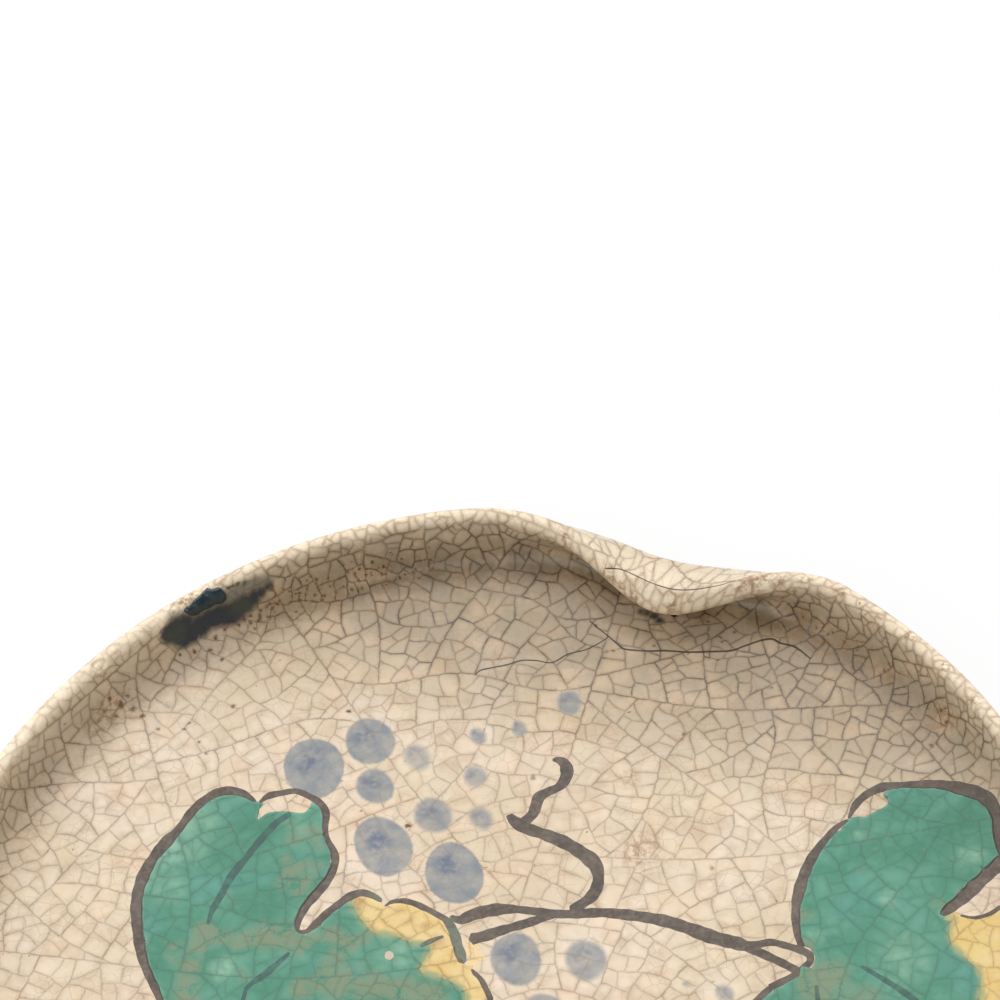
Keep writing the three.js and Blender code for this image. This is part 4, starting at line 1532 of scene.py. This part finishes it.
# Worn, pale and deep places of the enamel on each leaf: centre, width and strength
LEFT_SPOTS = {
    "worn": [
        (201, 931, 19, 1), (197, 948, 19, 1), (190, 966, 19, 1), (189, 984, 22, 1), (186, 1000, 24, 1),
        (176, 952, 18, 0.9), (212, 936, 18, 1), (226, 937, 16, 0.9), (240, 942, 18, 1), (255, 938, 22, 1),
        (270, 935, 28, 1), (286, 937, 28, 1), (300, 945, 22, 1), (315, 936, 16, 0.9), (331, 934, 20, 1),
        (343, 941, 20, 1), (338, 957, 18, 0.9), (326, 967, 14, 0.8), (354, 943, 18, 0.9), (367, 937, 16, 0.8),
        (295, 839, 16, 0.7), (312, 832, 20, 0.8), (292, 871, 16, 1), (287, 860, 13, 0.9), (282, 882, 15, 0.9),
        (301, 885, 22, 1), (314, 868, 18, 0.8), (303, 866, 14, 0.9), (318, 847, 14, 0.7), (243, 977, 12, 0.9),
        (300, 989, 20, 1), (319, 982, 22, 1), (342, 982, 34, 1), (372, 986, 34, 1), (402, 991, 34, 1),
        (431, 996, 30, 1), (360, 903, 12, 1), (424, 926, 10, 1), (409, 921, 8, 0.9), (438, 941, 12, 0.7),
        (398, 912, 10, 0.6),
    ],
    "pale": [
        (223, 968, 24, 1), (175, 850, 50, 0.7), (195, 820, 40, 0.6), (165, 885, 36, 0.5), (300, 830, 24, 0.4),
        (400, 955, 40, 0.5),
    ],
    "deep": [(245, 845, 60, 0.6), (150, 965, 24, 0.8), (262, 905, 40, 0.5)],
}
RIGHT_SPOTS = {
    "worn": [
        (822, 983, 46, 1), (860, 1000, 36, 0.7), (804, 915, 16, 0.8), (806, 945, 16, 0.8),
        (940, 905, 14, 0.5),
    ],
    "pale": [
        (890, 898, 16, 0.8), (970, 857, 24, 0.9), (864, 835, 18, 0.7), (817, 935, 14, 0.7),
        (905, 960, 50, 0.5),
    ],
    "deep": [
        (917, 806, 40, 0.9), (950, 830, 60, 0.9), (905, 850, 50, 0.8), (960, 870, 40, 0.7),
        (880, 840, 40, 0.7),
    ],
}
BARE = [spline(seen([(386, 952.5), (391, 951.5), (394, 956), (390, 960), (385, 958)]), 0.3, closed=True)]
ENAMEL_HEIGHT = 0.13
ENAMEL_ROUNDING = 0.5
SEAM_WIDTH = 1.5
DROP_HEIGHT = 0.42

green = enamel_finish(
    "green_enamel", 0.4, deep=(58, 127, 101), pale=(90, 149, 127), worn=(124, 136, 108),
    cracked=(58, 96, 78), cool=(88, 150, 144), light=(156, 192, 164), dark=(44, 112, 84),
)
yellow = enamel_finish(
    "yellow_enamel", 0.55, deep=(214, 180, 104), pale=(222, 197, 142), worn=(176, 136, 84),
    cracked=(140, 108, 70), cool=(216, 196, 118), light=(232, 208, 160), dark=(206, 164, 84),
)


def enamel_field(node, edge, other_edge, material, leaf_spots):
    """One colour of a leaf, drawn out to the other colour and to the outline of the leaf."""
    other = spline(other_edge, 0.25, closed=True)
    outline = drawn_to(spline(edge, 0.5, closed=True), other, 1.1, 0.2)
    outline = drawn_to(outline, np.concatenate(OUTLINES), 1.7, 0.2, OUTLINES)
    field, field_flat = raised_mesh(
        node + "_pool", outline, ENAMEL_HEIGHT, ENAMEL_ROUNDING, coat_cracks, on_coat, material, [node],
        {"vein": VEINS, "ink": OUTLINES, "bare": BARE},
    )
    to_other = nearest(thick(other), thick(field_flat))[0]
    set_values(field, "seam", "POINT", smoothstep(to_other, SEAM_WIDTH, 0.2))
    for kind, rows in leaf_spots.items():
        fade = 0.8 if kind == "worn" else 1.4
        set_values(field, kind, "POINT", spot_mask(field_flat, spots(rows), fade, 0.15))


for side, green_edge, yellow_edge, leaf_spots in (
    ("left", LEFT_GREEN, LEFT_YELLOW, LEFT_SPOTS),
    ("right", RIGHT_GREEN, RIGHT_YELLOW, RIGHT_SPOTS),
):
    enamel_field(side + "_leaf_green", green_edge, yellow_edge, green, leaf_spots)
    enamel_field(side + "_leaf_yellow", yellow_edge, green_edge, yellow, leaf_spots)

raised_mesh(
    "rim_drop", DROP, DROP_HEIGHT, 1.0, NO_CRACKS, on_coat, drop_finish(), ["rim_drip"],
    gap=0.4,
)

BASE_EDGE = circle(FOOT_INNER_RADIUS - 1, 210)
base_cracks = crack_network(BASE_EDGE, lambda centre: 9.0, lambda radius: 1.0, 8)
raised_mesh(
    "base_pool", BASE_EDGE, GLAZE_THICKNESS, 1.2, base_cracks, on_base, base_finish(), ["base_glaze"],
    gap=1.4, downwards=True,
)

# The foot ring, turned on the wheel and trimmed, with fine throwing lines

FOOT_COLUMNS = 240
FOOT_GRID = 0.45
GROOVE_DEPTH = 0.05


def foot_section():
    """The closed section of the ring, with softened corners: it ends just inside the dish."""
    def top_at(radius):
        one = np.array([radius / FLOOR_RADIUS])
        none = np.zeros(1)
        return section_point(5 - one, none + GLAZE_THICKNESS + SEAM, none, none)[0, 1] - SEAM / 10

    profile = [
        (FOOT_INNER_RADIUS + FOOT_BEVEL, 0), (FOOT_OUTER_RADIUS - FOOT_TAPER - FOOT_BEVEL, 0),
        (FOOT_OUTER_RADIUS - FOOT_TAPER, FOOT_BEVEL), (FOOT_OUTER_RADIUS, top_at(FOOT_OUTER_RADIUS)),
        (FOOT_INNER_RADIUS - FOOT_TAPER / 2, top_at(FOOT_INNER_RADIUS)), (FOOT_INNER_RADIUS, FOOT_BEVEL),
    ]
    line = []
    for (ra, za), (rb, zb) in zip(profile, profile[1:] + profile[:1]):
        parts = max(3, round(math.hypot(rb - ra, zb - za) / FOOT_GRID))
        line += [(ra + (rb - ra) * k / parts, za + (zb - za) * k / parts) for k in range(parts)]
    line = np.array(line)
    for _ in range(2):
        line = (np.roll(line, 1, axis=0) + 2 * line + np.roll(line, -1, axis=0)) / 4
    line[:, 1] = np.maximum(line[:, 1] - line[:, 1].min(), 0)
    return line


def foot_mesh():
    line = foot_section()
    turn = np.arange(FOOT_COLUMNS) * 2 * np.pi / FOOT_COLUMNS
    count = len(line)
    radius, height = line.T
    middle = (FOOT_INNER_RADIUS + FOOT_OUTER_RADIUS) / 2
    vertices = []
    for a in turn:
        grooves = GROOVE_DEPTH * np.sin(height * 5.2 + 2 * a) * smoothstep(height, 0.6, 1.6)
        sway = 0.12 * math.sin(2 * a + 1) + 0.06 * math.sin(5 * a)
        r = radius + np.sign(radius - middle) * (grooves - GROOVE_DEPTH) + sway * smoothstep(height, 6, 2)
        vertices.append(np.stack([r * math.cos(a), r * math.sin(a), height], -1))
    vertices = np.concatenate(vertices)
    i, j = np.meshgrid(np.arange(FOOT_COLUMNS), np.arange(count), indexing="ij")
    here = (i * count + j).ravel()
    beside = ((i + 1) % FOOT_COLUMNS * count + j).ravel()
    over = (i * count + (j + 1) % count).ravel()
    across = ((i + 1) % FOOT_COLUMNS * count + (j + 1) % count).ravel()
    new_piece("foot", vertices, np.stack([here, beside, across, over], -1), clay, ["foot_ring"])


foot_mesh()
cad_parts["dish"].data.materials.clear()
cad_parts["dish"].data.materials.append(clay)

# Floor and light

FLOOR_HALF = 3
FLOOR_WHITENESS = 0.88
GLOW_SHARE = 0.85
AMBIENT = 0.3
corners = [(x * FLOOR_HALF, y * FLOOR_HALF, 0) for x, y in ((-1, -1), (1, -1), (1, 1), (-1, 1))]
floor_mesh = bpy.data.meshes.new("floor")
floor_mesh.from_pydata(corners, [], [(0, 1, 2, 3)])
floor = bpy.data.objects.new("floor", floor_mesh)
bpy.context.scene.collection.objects.link(floor)
white = Finish("floor_white")
white.colour = (FLOOR_WHITENESS, FLOOR_WHITENESS, FLOOR_WHITENESS, 1)
white.finish(0.9)
rays = white.node("LightPath", {}).node.outputs
looked_at = white.most(rays["Is Camera Ray"], rays["Is Glossy Ray"])
looked_at = white.most(looked_at, rays["Is Transmission Ray"])
glow = white.node("Emission", {"Color": (1, 1, 1, 1), "Strength": 1.0})
mixed = white.node("MixShader", {0: white.times(looked_at, GLOW_SHARE), 1: white.shader.outputs[0], 2: glow})
white.feed(white.tree.nodes["Material Output"].inputs["Surface"], mixed)
floor_mesh.materials.append(white.material)


def area_light(name, place, width, height, watts):
    light = bpy.data.lights.new(name, "AREA")
    light.shape = "RECTANGLE"
    light.size = width
    light.size_y = height
    light.energy = watts
    lamp = bpy.data.objects.new(name, light)
    bpy.context.scene.collection.objects.link(lamp)
    lamp.location = place
    lamp.rotation_mode = "QUATERNION"
    lamp.rotation_quaternion = (-Vector(place)).to_track_quat("-Z", "Y")


area_light("key_behind", (0.1, 1.05, 0.9), 3.4, 1.9, 37)
area_light("fill_front", (-0.8, -1.3, 1.6), 2.6, 1.9, 27)
world = bpy.data.worlds.new("studio")
world.use_nodes = True
background = world.node_tree.nodes["Background"]
background.inputs["Color"].default_value = (1, 1, 1, 1)
background.inputs["Strength"].default_value = AMBIENT
bpy.context.scene.world = world
bpy.context.scene.view_settings.view_transform = "Standard"
